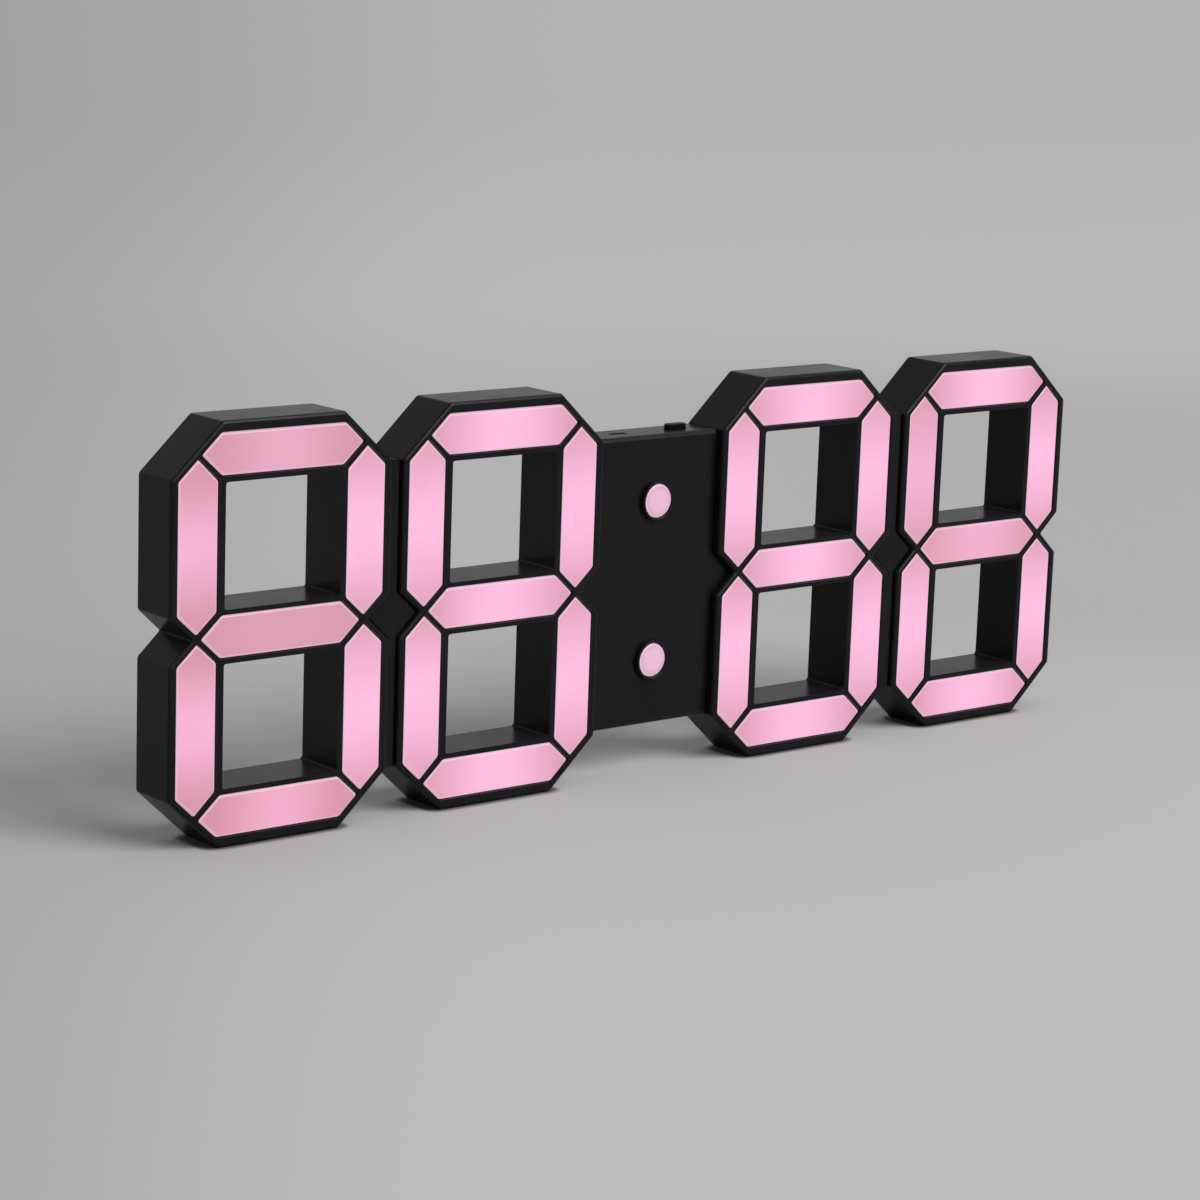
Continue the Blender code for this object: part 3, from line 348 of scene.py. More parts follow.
def copy_shape(node):
    """Start a shape from a solid's mesh, with its triangles joined and its flat faces made whole."""
    shape = bmesh.new()
    shape.from_mesh(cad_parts[node].data)
    bmesh.ops.remove_doubles(shape, verts=shape.verts, dist=MERGE)
    bmesh.ops.dissolve_limit(shape, angle_limit=FLAT_ANGLE, verts=shape.verts, edges=shape.edges)
    shape.faces.layers.float.new("edge")
    return shape


def depth_span(edge):
    """The front and back Y places of an edge."""
    ends = [vertex.co.y for vertex in edge.verts]
    return min(ends), max(ends)


def near(value, place):
    """Whether two places are the same."""
    return abs(value - place) < CLOSE


def turn(edge):
    """The angle between an edge's two faces, 0 where they are level."""
    return edge.calc_face_angle(0)


def deepest_face(edge):
    """How far the deeper of an edge's two faces runs from front to back."""
    reach = 0
    for face in edge.link_faces:
        places = [vertex.co.y for vertex in face.verts]
        reach = max(reach, max(places) - min(places))
    return reach


def soften(shape, edges, width, segments, share):
    """Round edges, mark the new faces with their share of the wear, and give them."""
    made = bmesh.ops.bevel(
        shape,
        geom=edges,
        offset=width,
        offset_type="OFFSET",
        segments=segments,
        profile=0.5,
        affect="EDGES",
        clamp_overlap=True,
        material=-1,
    )
    layer = shape.faces.layers.float["edge"]
    for face in made["faces"]:
        face[layer] = share
    return made["faces"]


def edges_across(shape, start, end, angle):
    """Edges that run between two Y places, sharper than an angle."""
    found = []
    for edge in shape.edges:
        low, high = depth_span(edge)
        if near(low, start) and near(high, end) and turn(edge) > angle:
            found.append(edge)
    return found


def edges_at(shape, place, angle):
    """Edges that lie at one Y place, sharper than an angle and not folded flat."""
    return [edge for edge in edges_across(shape, place, place, angle) if turn(edge) < math.pi]


def add_object(name, data):
    """Put data in the scene as an object."""
    made = bpy.data.objects.new(name, data)
    bpy.context.scene.collection.objects.link(made)
    return made


def new_piece(shape, name, body, slot, finish, *nodes):
    """Make a finished shape a piece that rides on a body and stands for its solids."""
    mesh = bpy.data.meshes.new(name)
    shape.to_mesh(mesh)
    shape.free()
    mesh.shade_smooth()
    mesh.set_sharp_from_angle(angle=SMOOTH_ANGLE)
    mesh.materials.append(finish)
    piece = add_object(name, mesh)
    shading = piece.modifiers.new("even_shading", "WEIGHTED_NORMAL")
    shading.keep_sharp = True
    shading.weight = 100
    shading.thresh = 0
    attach(piece, body)
    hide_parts(*nodes)
    return piece


def top_rim(shape, top):
    """Sharp edges round a piece's top."""
    found = []
    for edge in shape.edges:
        if all(near(vertex.co.z, top) for vertex in edge.verts) and turn(edge) > SQUARE_ANGLE:
            found.append(edge)
    return found


def spin_profile(profile, place, steps):
    """Turn a profile of radius and Y about the Y axis and move it to a place."""
    shape = bmesh.new()
    shape.faces.layers.float.new("edge")
    corners = [shape.verts.new((radius, y, 0)) for radius, y in profile]
    edges = [shape.edges.new(pair) for pair in zip(corners, corners[1:])]
    bmesh.ops.spin(
        shape,
        geom=corners + edges,
        cent=(0, 0, 0),
        axis=(0, 1, 0),
        angle=math.tau,
        steps=steps,
        use_merge=True,
    )
    bmesh.ops.remove_doubles(shape, verts=shape.verts, dist=MERGE)
    bmesh.ops.recalc_face_normals(shape, faces=shape.faces)
    bmesh.ops.translate(shape, verts=shape.verts, vec=place)
    return shape


def middle_of(node):
    """The middle of a solid's box."""
    low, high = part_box(node)
    return (low + high) / 2


# Shader helpers

def fill(tree, node, inputs):
    """Fill a node's inputs with values or with other nodes' sockets."""
    for key, value in inputs.items():
        if isinstance(value, bpy.types.NodeSocket):
            tree.links.new(value, node.inputs[key])
        else:
            node.inputs[key].default_value = value


def add(tree, kind, inputs=None, **settings):
    """Add a node, set it up and fill its inputs."""
    node = tree.nodes.new(kind)
    for name, value in settings.items():
        setattr(node, name, value)
    fill(tree, node, inputs or {})
    return node


def calculate(tree, operation, first, second=0.0):
    """Add a Math node and give its result."""
    return add(tree, "ShaderNodeMath", {0: first, 1: second}, operation=operation).outputs[0]


def remap(tree, value, low, high, to_low=0.0, to_high=1.0):
    """Turn a range of values softly into another."""
    inputs = {"Value": value, "From Min": low, "From Max": high, "To Min": to_low, "To Max": to_high}
    node = add(tree, "ShaderNodeMapRange", inputs, interpolation_type="SMOOTHSTEP")
    return node.outputs["Result"]


def mix_value(tree, mask, first, second):
    """Mix two numbers by a mask."""
    node = add(tree, "ShaderNodeMix", {0: mask, 2: first, 3: second}, data_type="FLOAT")
    return node.outputs[0]


def mix_colour(tree, mask, first, second):
    """Mix two colours by a mask."""
    node = add(tree, "ShaderNodeMix", {0: mask, 6: as_rgba(first), 7: as_rgba(second)}, data_type="RGBA")
    return node.outputs[2]


def as_rgba(colour):
    """Give a plain colour its fourth value, and leave a socket alone."""
    if isinstance(colour, bpy.types.NodeSocket):
        return colour
    return (*colour[:3], 1.0)


def object_place(tree):
    """The place on the clock, in metres."""
    return add(tree, "ShaderNodeTexCoord").outputs["Object"]


def object_part(tree, axis):
    """One coordinate of the place on the clock."""
    return add(tree, "ShaderNodeSeparateXYZ", {"Vector": object_place(tree)}).outputs[axis]


def attribute(tree, name):
    """A value that the piece's faces carry."""
    return add(tree, "ShaderNodeAttribute", attribute_name=name).outputs["Fac"]


def noise(tree, vector, size, detail=2.0, roughness=0.5):
    """Soft random pattern with spots of a size in metres, which may be a socket."""
    if isinstance(size, bpy.types.NodeSocket):
        scale = calculate(tree, "DIVIDE", 1.0, size)
    else:
        scale = 1.0 / size
    inputs = {"Vector": vector, "Scale": scale, "Detail": detail, "Roughness": roughness}
    return add(tree, "ShaderNodeTexNoise", inputs).outputs[0]


def new_group(name, inputs, outputs):
    """Start a node group with named inputs and outputs, all of them numbers."""
    tree = bpy.data.node_groups.new(name, "ShaderNodeTree")
    for label, value in inputs.items():
        socket = tree.interface.new_socket(name=label, in_out="INPUT", socket_type="NodeSocketFloat")
        socket.default_value = value
    for label in outputs:
        tree.interface.new_socket(name=label, in_out="OUTPUT", socket_type="NodeSocketFloat")
    return tree, tree.nodes.new("NodeGroupInput").outputs, tree.nodes.new("NodeGroupOutput").inputs


def use_group(tree, build, **inputs):
    """Place a node group, built at its first use, with its inputs' values, and give its outputs."""
    name = build.__name__.replace("_", " ")
    node = tree.nodes.new("ShaderNodeGroup")
    node.node_tree = bpy.data.node_groups.get(name) or build(name)
    for label, value in inputs.items():
        node.inputs[label.replace("_", " ")].default_value = value
    return node.outputs


def moulded_grain(name):
    """Fine texture of a spark-eroded mould, with broad uneven patches."""
    inputs = {"grain size": 0.0003, "patch size": 0.02}
    tree, given, result = new_group(name, inputs, ("height", "patches"))
    place = object_place(tree)
    fine = noise(tree, place, given["grain size"], detail=3.0, roughness=0.6)
    tree.links.new(remap(tree, fine, *NOISE_RANGE), result["height"])
    broad = noise(tree, place, given["patch size"], detail=4.0, roughness=0.55)
    tree.links.new(remap(tree, broad, *NOISE_RANGE), result["patches"])
    return tree


def edge_wear(name):
    """Uneven polish along the rounded edges."""
    tree, given, result = new_group(name, {"amount": 1.0, "scuff size": 0.006}, ("mask",))
    edge = attribute(tree, "edge")
    scuffs = noise(tree, object_place(tree), given["scuff size"], detail=5.0, roughness=0.65)
    uneven = remap(tree, scuffs, *NOISE_RANGE, 0.25, 1.0)
    worn = calculate(tree, "MULTIPLY", edge, uneven)
    tree.links.new(calculate(tree, "MULTIPLY", worn, given["amount"]), result["mask"])
    return tree


def settled_dust_and_sheen(name):
    """Thin dusting on faces that look upwards, which is also painted sheen: it lightens level tops in place
    of their grazing reflection of the surroundings.
    """
    tree, given, result = new_group(name, {"amount": 0.3, "patch size": 0.008}, ("mask",))
    facing = add(tree, "ShaderNodeTexCoord").outputs["Normal"]
    upwards = add(tree, "ShaderNodeSeparateXYZ", {"Vector": facing}).outputs["Z"]
    level = remap(tree, upwards, *LEVEL_RANGE)
    patches = noise(tree, object_place(tree), given["patch size"], detail=6.0, roughness=0.7)
    uneven = remap(tree, patches, 0.25, 0.75, 0.35, 1.0)
    dusty_sheen = calculate(tree, "MULTIPLY", level, uneven)
    tree.links.new(calculate(tree, "MULTIPLY", dusty_sheen, given["amount"]), result["mask"])
    return tree


def new_material(name):
    """Start a material, and give it with its node tree and its shader."""
    made = bpy.data.materials.new(name)
    made.use_nodes = True
    return made, made.node_tree, made.node_tree.nodes["Principled BSDF"]


def bump(tree, height, depth):
    """Turn a height into a normal, its full range as deep as given in metres."""
    return add(tree, "ShaderNodeBump", {"Height": height, "Distance": depth}).outputs["Normal"]


# Finishes

def moulded_black(name, colour, roughness, level, grain_depth, dust_and_sheen, wear):
    """Black moulded plastic with a fine grain, polished edges and a little dusting, which also paints a
    sheen on level tops.
    """
    if name in bpy.data.materials:
        return bpy.data.materials[name]
    settings = bpy.context.scene.clock_cases
    made, tree, shader = new_material(name)
    grain = use_group(tree, moulded_grain, grain_size=0.00028, patch_size=0.022)
    worn = use_group(tree, edge_wear, amount=wear, scuff_size=0.005)
    dusty_sheen = use_group(tree, settled_dust_and_sheen, amount=dust_and_sheen, patch_size=0.007)
    paler = [value * PATCH_PALER for value in colour]
    base = mix_colour(tree, grain["patches"], colour, paler)
    base = mix_colour(tree, worn["mask"], base, settings.worn_colour)
    # Painted sheen: the dusting colour lightens level tops, standing in for their grazing reflection.
    base = mix_colour(tree, dusty_sheen["mask"], base, settings.dust_and_sheen_colour)
    spill = attribute(tree, "spill")
    rough = mix_value(tree, grain["patches"], roughness, roughness + PATCH_ROUGHER)
    rough = mix_value(tree, worn["mask"], rough, roughness - WORN_SMOOTHER)
    rough = mix_value(tree, dusty_sheen["mask"], rough, DUST_AND_SHEEN_ROUGHNESS)
    fill(tree, shader, {
        "Base Color": base,
        "Roughness": rough,
        "Specular IOR Level": level,
        "Emission Color": mix_colour(tree, spill, (0, 0, 0), settings.spill_colour),
        "Emission Strength": 1.0,
        "Normal": bump(tree, grain["height"], grain_depth),
    })
    return made


def case_black():
    """Plastic of the cases, bridges and covers."""
    colour = bpy.context.scene.clock_cases.colour
    return moulded_black(
        "moulded_black", colour, roughness=0.22, level=0.13, grain_depth=0.000002, dust_and_sheen=0.05, wear=0.35
    )


def button_black():
    """Plastic of the buttons, a little smoother than the cases."""
    colour = bpy.context.scene.clock_fixings.button_colour
    return moulded_black(
        "button_black", colour, roughness=0.30, level=0.08, grain_depth=0.000003, dust_and_sheen=0.0, wear=0.2
    )


def lit_pink(name, dim, bright, rim, fall, deepest):
    """Milky pink plastic that glows up to a depth, most in a lens's middle and less at its sides."""
    if name in bpy.data.materials:
        return bpy.data.materials[name]
    settings = bpy.context.scene.clock_lenses
    made, tree, shader = new_material(name)
    across = add(tree, "ShaderNodeUVMap", uv_map="lens").outputs["UV"]
    parts = add(tree, "ShaderNodeSeparateXYZ", {"Vector": across})
    along = calculate(tree, "ABSOLUTE", parts.outputs["X"])
    side = calculate(tree, "ABSOLUTE", parts.outputs["Y"])
    ends = remap(tree, along, GLOW_REACH, 0.0)
    sides = remap(tree, side, *GLOW_SIDES, 1.0 - fall, 1.0)
    glow = calculate(tree, "MULTIPLY", ends, sides)
    mottle = noise(tree, object_place(tree), 0.012, detail=3.0)
    uneven = remap(tree, mottle, *NOISE_RANGE, 0.93, 1.0)
    glow = calculate(tree, "MULTIPLY", glow, uneven)
    weakness = attribute(tree, "weakness")
    glow = calculate(tree, "MULTIPLY", glow, calculate(tree, "SUBTRACT", 1.0, weakness))
    light = mix_colour(tree, glow, dim, bright)
    rosiness = attribute(tree, "rosiness")
    light = mix_colour(tree, rosiness, light, settings.rose)
    edge = attribute(tree, "edge")
    light = mix_colour(tree, calculate(tree, "MULTIPLY", edge, RIM_SHARE), light, rim)
    depth = object_part(tree, "Y")
    light = mix_colour(tree, calculate(tree, "LESS_THAN", depth, deepest), (0, 0, 0), light)
    spread = add(tree, "ShaderNodeLightPath").outputs["Is Diffuse Ray"]
    light = mix_colour(tree, calculate(tree, "MULTIPLY", spread, SPREAD_LIGHT_LOST), light, (0, 0, 0))
    body = mix_colour(tree, uneven, [value * 0.8 for value in settings.body], settings.body)
    grain = noise(tree, object_place(tree), 0.0004, detail=2.0)
    fill(tree, shader, {
        "Base Color": body,
        "Emission Color": light,
        "Emission Strength": 1.0,
        "Roughness": remap(tree, mottle, *NOISE_RANGE, 0.30, 0.42),
        "Specular IOR Level": 0.35,
        "Normal": bump(tree, grain, 0.000004),
    })
    made.cycles.emission_sampling = "NONE"
    return made


def lit_segment():
    """Finish of the segment lenses."""
    settings = bpy.context.scene.clock_lenses
    colours = settings.dim, settings.bright, settings.rim
    return lit_pink("lit_segment", *colours, fall=0.18, deepest=FRONT + CASE_FACE)


def lit_dot():
    """Finish of the colon dots, paler round their edges."""
    settings = bpy.context.scene.clock_lenses
    darker = [value * DOT_DIM_SHARE for value in settings.dot]
    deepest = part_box("upper_colon_lens")[0].y + DOT_SHOWN
    return lit_pink("lit_dot", darker, settings.dot, settings.dot_rim, fall=0.55, deepest=deepest)


def plated_steel():
    """Plated steel with fine turning marks."""
    name = "plated_steel"
    if name in bpy.data.materials:
        return bpy.data.materials[name]
    colour = bpy.context.scene.clock_fixings.steel
    made, tree, shader = new_material(name)
    place = object_place(tree)
    marks = noise(tree, place, 0.00012, detail=4.0, roughness=0.7)
    patches = noise(tree, place, 0.0015, detail=4.0)
    worn = use_group(tree, edge_wear, amount=0.8, scuff_size=0.001)
    dull = [value * DULL_SHARE for value in colour]
    base = mix_colour(tree, remap(tree, patches, *NOISE_RANGE), dull, colour)
    bright = [min(1.0, value * POLISHED_SHARE) for value in colour]
    fill(tree, shader, {
        "Base Color": mix_colour(tree, worn["mask"], base, bright),
        "Metallic": 1.0,
        "Roughness": remap(tree, marks, *NOISE_RANGE, 0.24, 0.42),
        "Normal": bump(tree, marks, 0.000004),
    })
    return made


def plain_plastic(name, colours, roughness, grain_size, patch_size, grain_depth):
    """Moulded plastic with a fine grain, in patches of two colours and two roughnesses."""
    if name in bpy.data.materials:
        return bpy.data.materials[name]
    made, tree, shader = new_material(name)
    grain = use_group(tree, moulded_grain, grain_size=grain_size, patch_size=patch_size)
    fill(tree, shader, {
        "Base Color": mix_colour(tree, grain["patches"], *colours),
        "Roughness": mix_value(tree, grain["patches"], *roughness),
        "Normal": bump(tree, grain["height"], grain_depth),
    })
    return made


def satin_nylon():
    """Dark nylon of the switches, plungers, buzzer and cell holder."""
    colours = ((0.022, 0.022, 0.023), (0.036, 0.035, 0.035))
    return plain_plastic(
        "satin_nylon", colours, (0.42, 0.55), grain_size=0.0002, patch_size=0.004, grain_depth=0.000006
    )


def white_moulding():
    """White plastic of the light boxes."""
    colours = ((0.80, 0.79, 0.77), (0.88, 0.87, 0.86))
    return plain_plastic(
        "white_moulding", colours, (0.40, 0.5), grain_size=0.0003, patch_size=0.01, grain_depth=0.000008
    )


def solder_mask(name, front, back):
    """Green circuit board with traces, and with packages where it stands out in front or behind."""
    made, tree, shader = new_material(name)
    place = object_place(tree)
    inputs = {"Vector": place, "Scale": TRACE_CELLS, "Randomness": 0.65}
    cells = add(tree, "ShaderNodeTexVoronoi", inputs, feature="F1", distance="CHEBYCHEV")
    bands = calculate(tree, "MULTIPLY", cells.outputs["Distance"], TRACES_PER_CELL)
    bands = calculate(tree, "FRACT", bands)
    traces = remap(tree, bands, *TRACE_RANGE)
    mask = mix_colour(tree, traces, (0.012, 0.105, 0.045), (0.030, 0.21, 0.095))
    depth = object_part(tree, "Y")
    in_front = calculate(tree, "LESS_THAN", depth, front)
    behind = calculate(tree, "GREATER_THAN", depth, back)
    spots = noise(tree, place, 0.0008, detail=2.0)
    led = mix_colour(tree, remap(tree, spots, *SPOTS_RANGE), (0.78, 0.74, 0.62), (0.86, 0.84, 0.78))
    chip = mix_colour(tree, remap(tree, spots, *SPOTS_RANGE), (0.016, 0.016, 0.017), (0.030, 0.030, 0.031))
    base = mix_colour(tree, in_front, mask, led)
    fill(tree, shader, {
        "Base Color": mix_colour(tree, behind, base, chip),
        "Roughness": remap(tree, spots, *NOISE_RANGE, 0.28, 0.45),
        "Coat Weight": calculate(tree, "MULTIPLY", traces, 0.3),
        "Normal": bump(tree, traces, 0.00003),
    })
    return made


def ribbon_grey():
    """Grey ribbon cable, ribbed by its wires, with the first wire marked."""
    name = "ribbon_grey"
    if name in bpy.data.materials:
        return bpy.data.materials[name]
    made, tree, shader = new_material(name)
    height = object_part(tree, "Z")
    wires = calculate(tree, "FRACT", calculate(tree, "DIVIDE", height, WIRE_PITCH))
    ribs = calculate(tree, "SINE", calculate(tree, "MULTIPLY", wires, math.pi))
    marked = calculate(tree, "GREATER_THAN", height, MIDDLE_HEIGHT + MARKED_WIRE_RISE)
    grey = mix_colour(tree, ribs, (0.30, 0.31, 0.33), (0.45, 0.46, 0.48))
    fill(tree, shader, {
        "Base Color": mix_colour(tree, marked, grey, (0.42, 0.05, 0.04)),
        "Roughness": mix_value(tree, ribs, 0.6, 0.42),
        "Normal": bump(tree, ribs, 0.0002),
    })
    return made


# Pieces

def digit_case(number):
    """Case of one digit, with its outer round, windows and lens openings softened."""
    settings = bpy.context.scene.clock_cases
    node = f"digit_{number}_housing"
    shape = copy_shape(node)
    spill_layer = shape.faces.layers.float.new("spill")
    face_back = FRONT + CASE_FACE
    windows = edges_across(shape, FRONT, BACK, SQUARE_ANGLE)
    soften(shape, windows, settings.window_round, segments=3, share=0)
    openings = edges_across(shape, FRONT, face_back, SLIGHT_ANGLE)
    soften(shape, openings, settings.corner_round, segments=2, share=0)
    corners = []
    for edge in shape.edges:
        low, high = depth_span(edge)
        whole = near(low, FRONT + CASE_ROUND) and near(high, BACK - CASE_ROUND)
        in_round = high < FRONT + CASE_ROUND + CLOSE or low > BACK - CASE_ROUND - CLOSE
        if high - low > CLOSE and turn(edge) > SLIGHT_ANGLE and (whole or in_round):
            corners.append(edge)
    soften(shape, corners, settings.corner_round, segments=2, share=0.4)
    facets = []
    for edge in shape.edges:
        low, high = depth_span(edge)
        level = high - low < CLOSE
        outside = low < FRONT + CASE_ROUND + CLOSE or high > BACK - CASE_ROUND - CLOSE
        if level and outside and SLIGHT_ANGLE < turn(edge) < SQUARE_ANGLE:
            facets.append(edge)
    soften(shape, facets, settings.fine_edge, segments=2, share=0.6)
    for place, share, spill in ((FRONT, 0, 1), (BACK, 0.5, 0)):
        rims = edges_at(shape, place, SQUARE_ANGLE)
        windows = [edge for edge in rims if deepest_face(edge) > (BACK - FRONT) * THROUGH_SHARE]
        soften(shape, windows, settings.window_edge, segments=3, share=0.8)
        rims = edges_at(shape, place, SQUARE_ANGLE)
        for face in soften(shape, rims, settings.fine_edge, segments=2, share=share):
            face[spill_layer] = spill
    return new_piece(shape, f"digit_{number}_case", "clock", "black_plastic", case_black(), node)


def along_and_across(name, x, z):
    """A place in a digit, measured along and across one of its segments."""
    right = x - SEGMENTS[name][0]
    up = z - SEGMENTS[name][1]
    return (right, up) if SEGMENTS[name][0] == 0 else (up, right)


def segment_of(x, z):
    """Name of the segment that a place in a digit belongs to."""
    def away(name):
        along, across = along_and_across(name, x, z)
        return max(abs(along) / SEGMENT_HALF_LENGTH, abs(across) / SEGMENT_HALF_WIDTH)

    return min(SEGMENTS, key=away)


def digit_lenses(number):
    """Seven lenses of one digit on their web, with a map that runs along each lens."""
    settings = bpy.context.scene.clock_lenses
    node = f"digit_{number}_diffuser"
    shape = copy_shape(node)
    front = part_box(node)[0].y
    rim = front + LENS_BEVEL
    corners = []
    for edge in shape.edges:
        low, high = depth_span(edge)
        if high - low > CLOSE and low < rim + CLOSE and turn(edge) > SLIGHT_ANGLE:
            corners.append(edge)
    soften(shape, corners, settings.corner_round, segments=2, share=0)
    facets = edges_at(shape, front, SLIGHT_ANGLE) + edges_at(shape, rim, SLIGHT_ANGLE)
    soften(shape, facets, LENS_FINE_EDGE, segments=2, share=0)
    edge_layer = shape.faces.layers.float["edge"]
    weak_layer = shape.faces.layers.float.new("weakness")
    rose_layer = shape.faces.layers.float.new("rosiness")
    map_layer = shape.loops.layers.uv.new("lens")
    centre = middle_of(node)
    for face in shape.faces:
        face.normal_update()
        middle = face.calc_center_median()
        bevelled = middle.y < rim + LENS_BEVEL and face.normal.y > SQUARE_TO_FRONT
        face[edge_layer] = 1.0 if bevelled else 0.0
        segment = segment_of(middle.x - centre.x, middle.z - centre.z)
        face[weak_layer], face[rose_layer], share = WEAKER_SEGMENTS.get((number, segment), EVENLY_LIT)
        for loop in face.loops:
            place = loop.vert.co - centre
            along, across = along_and_across(segment, place.x, place.z)
            loop[map_layer].uv = (along / share, across)
    return new_piece(shape, f"digit_{number}_lenses", "clock", "pink_lens", lit_segment(), node)


def link_piece(side):
    """Narrow bridge between two digits."""
    settings = bpy.context.scene.clock_cases
    node = f"{side}_bridge"
    shape = copy_shape(node)
    low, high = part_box(node)
    rims = edges_at(shape, low.y, SQUARE_ANGLE) + edges_at(shape, high.y, SQUARE_ANGLE)
    soften(shape, rims, settings.window_edge, segments=3, share=0.6)
    return new_piece(shape, f"{side}_link", "clock", "black_plastic", case_black(), node)


def centre_case():
    """Case between the two middle digits, with two collars and openings in its top."""
    settings = bpy.context.scene.clock_cases
    node = "centre_housing"
    shape = copy_shape(node)
    low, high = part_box(node)
    facets = []
    for edge in shape.edges:
        start, end = (vertex.co for vertex in edge.verts)
        level = near(start.y, end.y) and near(start.z, end.z)
        from_end = min(abs(start.z - high.z), abs(start.z - low.z))
        if level and from_end < ROUND_REACH and SLIGHT_ANGLE < turn(edge) < SQUARE_ANGLE:
            facets.append(edge)
    openings = []
    for edge in top_rim(shape, high.z):
        if all(abs(vertex.co.x) < TOP_OPENINGS_REACH for vertex in edge.verts):
            openings.append(edge)
    soften(shape, facets, CENTRE_FINE_EDGE, segments=2, share=0.4)
    soften(shape, openings, CENTRE_FINE_EDGE, segments=2, share=0.8)
    collars = edges_at(shape, low.y, SQUARE_ANGLE)
    soften(shape, collars, settings.window_edge, segments=3, share=0.5)
    return new_piece(shape, "centre_case", "clock", "black_plastic", case_black(), node)


def colon_dot(side):
    """Round lens with a rounded edge and a slightly domed face."""
    node = f"{side}_colon_lens"
    low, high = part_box(node)
    centre = middle_of(node)
    centre.y = 0
    flange = (high.x - low.x) / 2
    radius = flange - DOT_FLANGE
    flange_front = high.y - DOT_FLANGE_THICKNESS
    profile = [(radius * share, low.y + depth) for share, depth in DOT_DOME_SHARES]
    profile += [(radius - inset, low.y + depth) for inset, depth in DOT_EDGE_INSETS]
    profile += [(radius, flange_front), (flange, flange_front), (flange, high.y), (0, high.y)]
    shape = spin_profile(profile, centre, DOT_STEPS)
    edge_layer = shape.faces.layers.float["edge"]
    map_layer = shape.loops.layers.uv.new("lens")
    for face in shape.faces:
        middle = face.calc_center_median() - centre
        reach = math.hypot(middle.x, middle.z)
        on_rim = reach > radius - DOT_RIM and middle.y < low.y + DOT_RIM_DEPTH
        face[edge_layer] = 1.0 if on_rim else 0.0
        for loop in face.loops:
            place = loop.vert.co - centre
            spread = math.hypot(place.x, place.z) / radius * SEGMENT_HALF_WIDTH
            loop[map_layer].uv = (spread * DOT_MAP_SHARE, spread)
    return new_piece(shape, f"{side}_dot", "clock", "pink_lens", lit_dot(), node)


def rear_cover(node, name):
    """Flush rear cover with softened rims and holes."""
    settings = bpy.context.scene.clock_cases
    shape = copy_shape(node)
    soften(shape, edges_at(shape, BACK, SQUARE_ANGLE), settings.fine_edge, segments=2, share=0.6)
    return new_piece(shape, name, "clock", "black_plastic", case_black(), node)


def screw_shape(node):
    """Pan-head screw with a cross recess, its head towards the back."""
    settings = bpy.context.scene.clock_fixings
    low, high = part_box(node)
    centre = middle_of(node)
    radius = (high.x - low.x) / 2
    shape = bmesh.new()
    layer = shape.faces.layers.float.new("edge")
    half = settings.cross_half / RECESS_CELLS * HEAD_CELLS
    bmesh.ops.create_grid(shape, x_segments=HEAD_CELLS, y_segments=HEAD_CELLS, size=half)
    for vertex in shape.verts:
        square = max(abs(vertex.co.x), abs(vertex.co.y))
        if near(square, half):
            vertex.co = vertex.co.normalized() * radius * HEAD_FLAT_SHARE
    cells = {}
    for face in shape.faces:
        middle = face.calc_center_median() / half * HEAD_CELLS / 2
        cells[round(middle.x), round(middle.y)] = face
    cross = [cells[place] for place in ((0, 0), (1, 0), (-1, 0), (0, 1), (0, -1))]
    sunk = bmesh.ops.extrude_face_region(shape, geom=cross)
    floor = [item for item in sunk["geom"] if isinstance(item, bmesh.types.BMVert)]
    bmesh.ops.delete(shape, geom=cross, context="FACES_ONLY")
    bmesh.ops.translate(shape, verts=floor, vec=(0, 0, -RECESS_DEPTH))
    bmesh.ops.scale(shape, verts=floor, vec=(RECESS_TAPER, RECESS_TAPER, 1))
    length = high.y - low.y
    rings = (
        (radius * HEAD_SHOULDER_SHARE, -HEAD_SHOULDER_DROP),
        (radius, -HEAD_EDGE_DROP),
        (radius, -SCREW_HEAD),
        (SCREW_SHANK, -SCREW_HEAD),
        (SCREW_SHANK, SCREW_SHANK - length),
        (SCREW_SHANK * SCREW_TIP_SHARE, -length),
    )
    for reach, drop in rings:
        border = [edge for edge in shape.edges if edge.is_boundary]
        grown = bmesh.ops.extrude_edge_only(shape, edges=border)
        for item in grown["geom"]:
            if isinstance(item, bmesh.types.BMVert):
                flat = Vector((item.co.x, item.co.y, 0)).normalized() * reach
                item.co = Vector((flat.x, flat.y, drop))
    border = [edge for edge in shape.edges if edge.is_boundary]
    bmesh.ops.edgeloop_fill(shape, edges=border)
    bmesh.ops.recalc_face_normals(shape, faces=shape.faces)
    for face in shape.faces:
        middle = face.calc_center_median()
        face[layer] = 1.0 if middle.z > -HEAD_TOP_DEPTH else 0.0
    towards_back = Matrix.Rotation(-math.pi / 2, 4, "X")
    bmesh.ops.transform(shape, matrix=towards_back, verts=shape.verts)
    bmesh.ops.translate(shape, verts=shape.verts, vec=(centre.x, high.y, centre.z))
    return shape


def push_button():
    """Raised push button in the top, with a rounded cap."""
    settings = bpy.context.scene.clock_fixings
    node = "top_button"
    shape = copy_shape(node)
    rim = top_rim(shape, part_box(node)[1].z)
    soften(shape, rim, settings.button_edge, segments=3, share=0.7)
    return new_piece(shape, "top_push_button", "top_button", "black_plastic", button_black(), node)


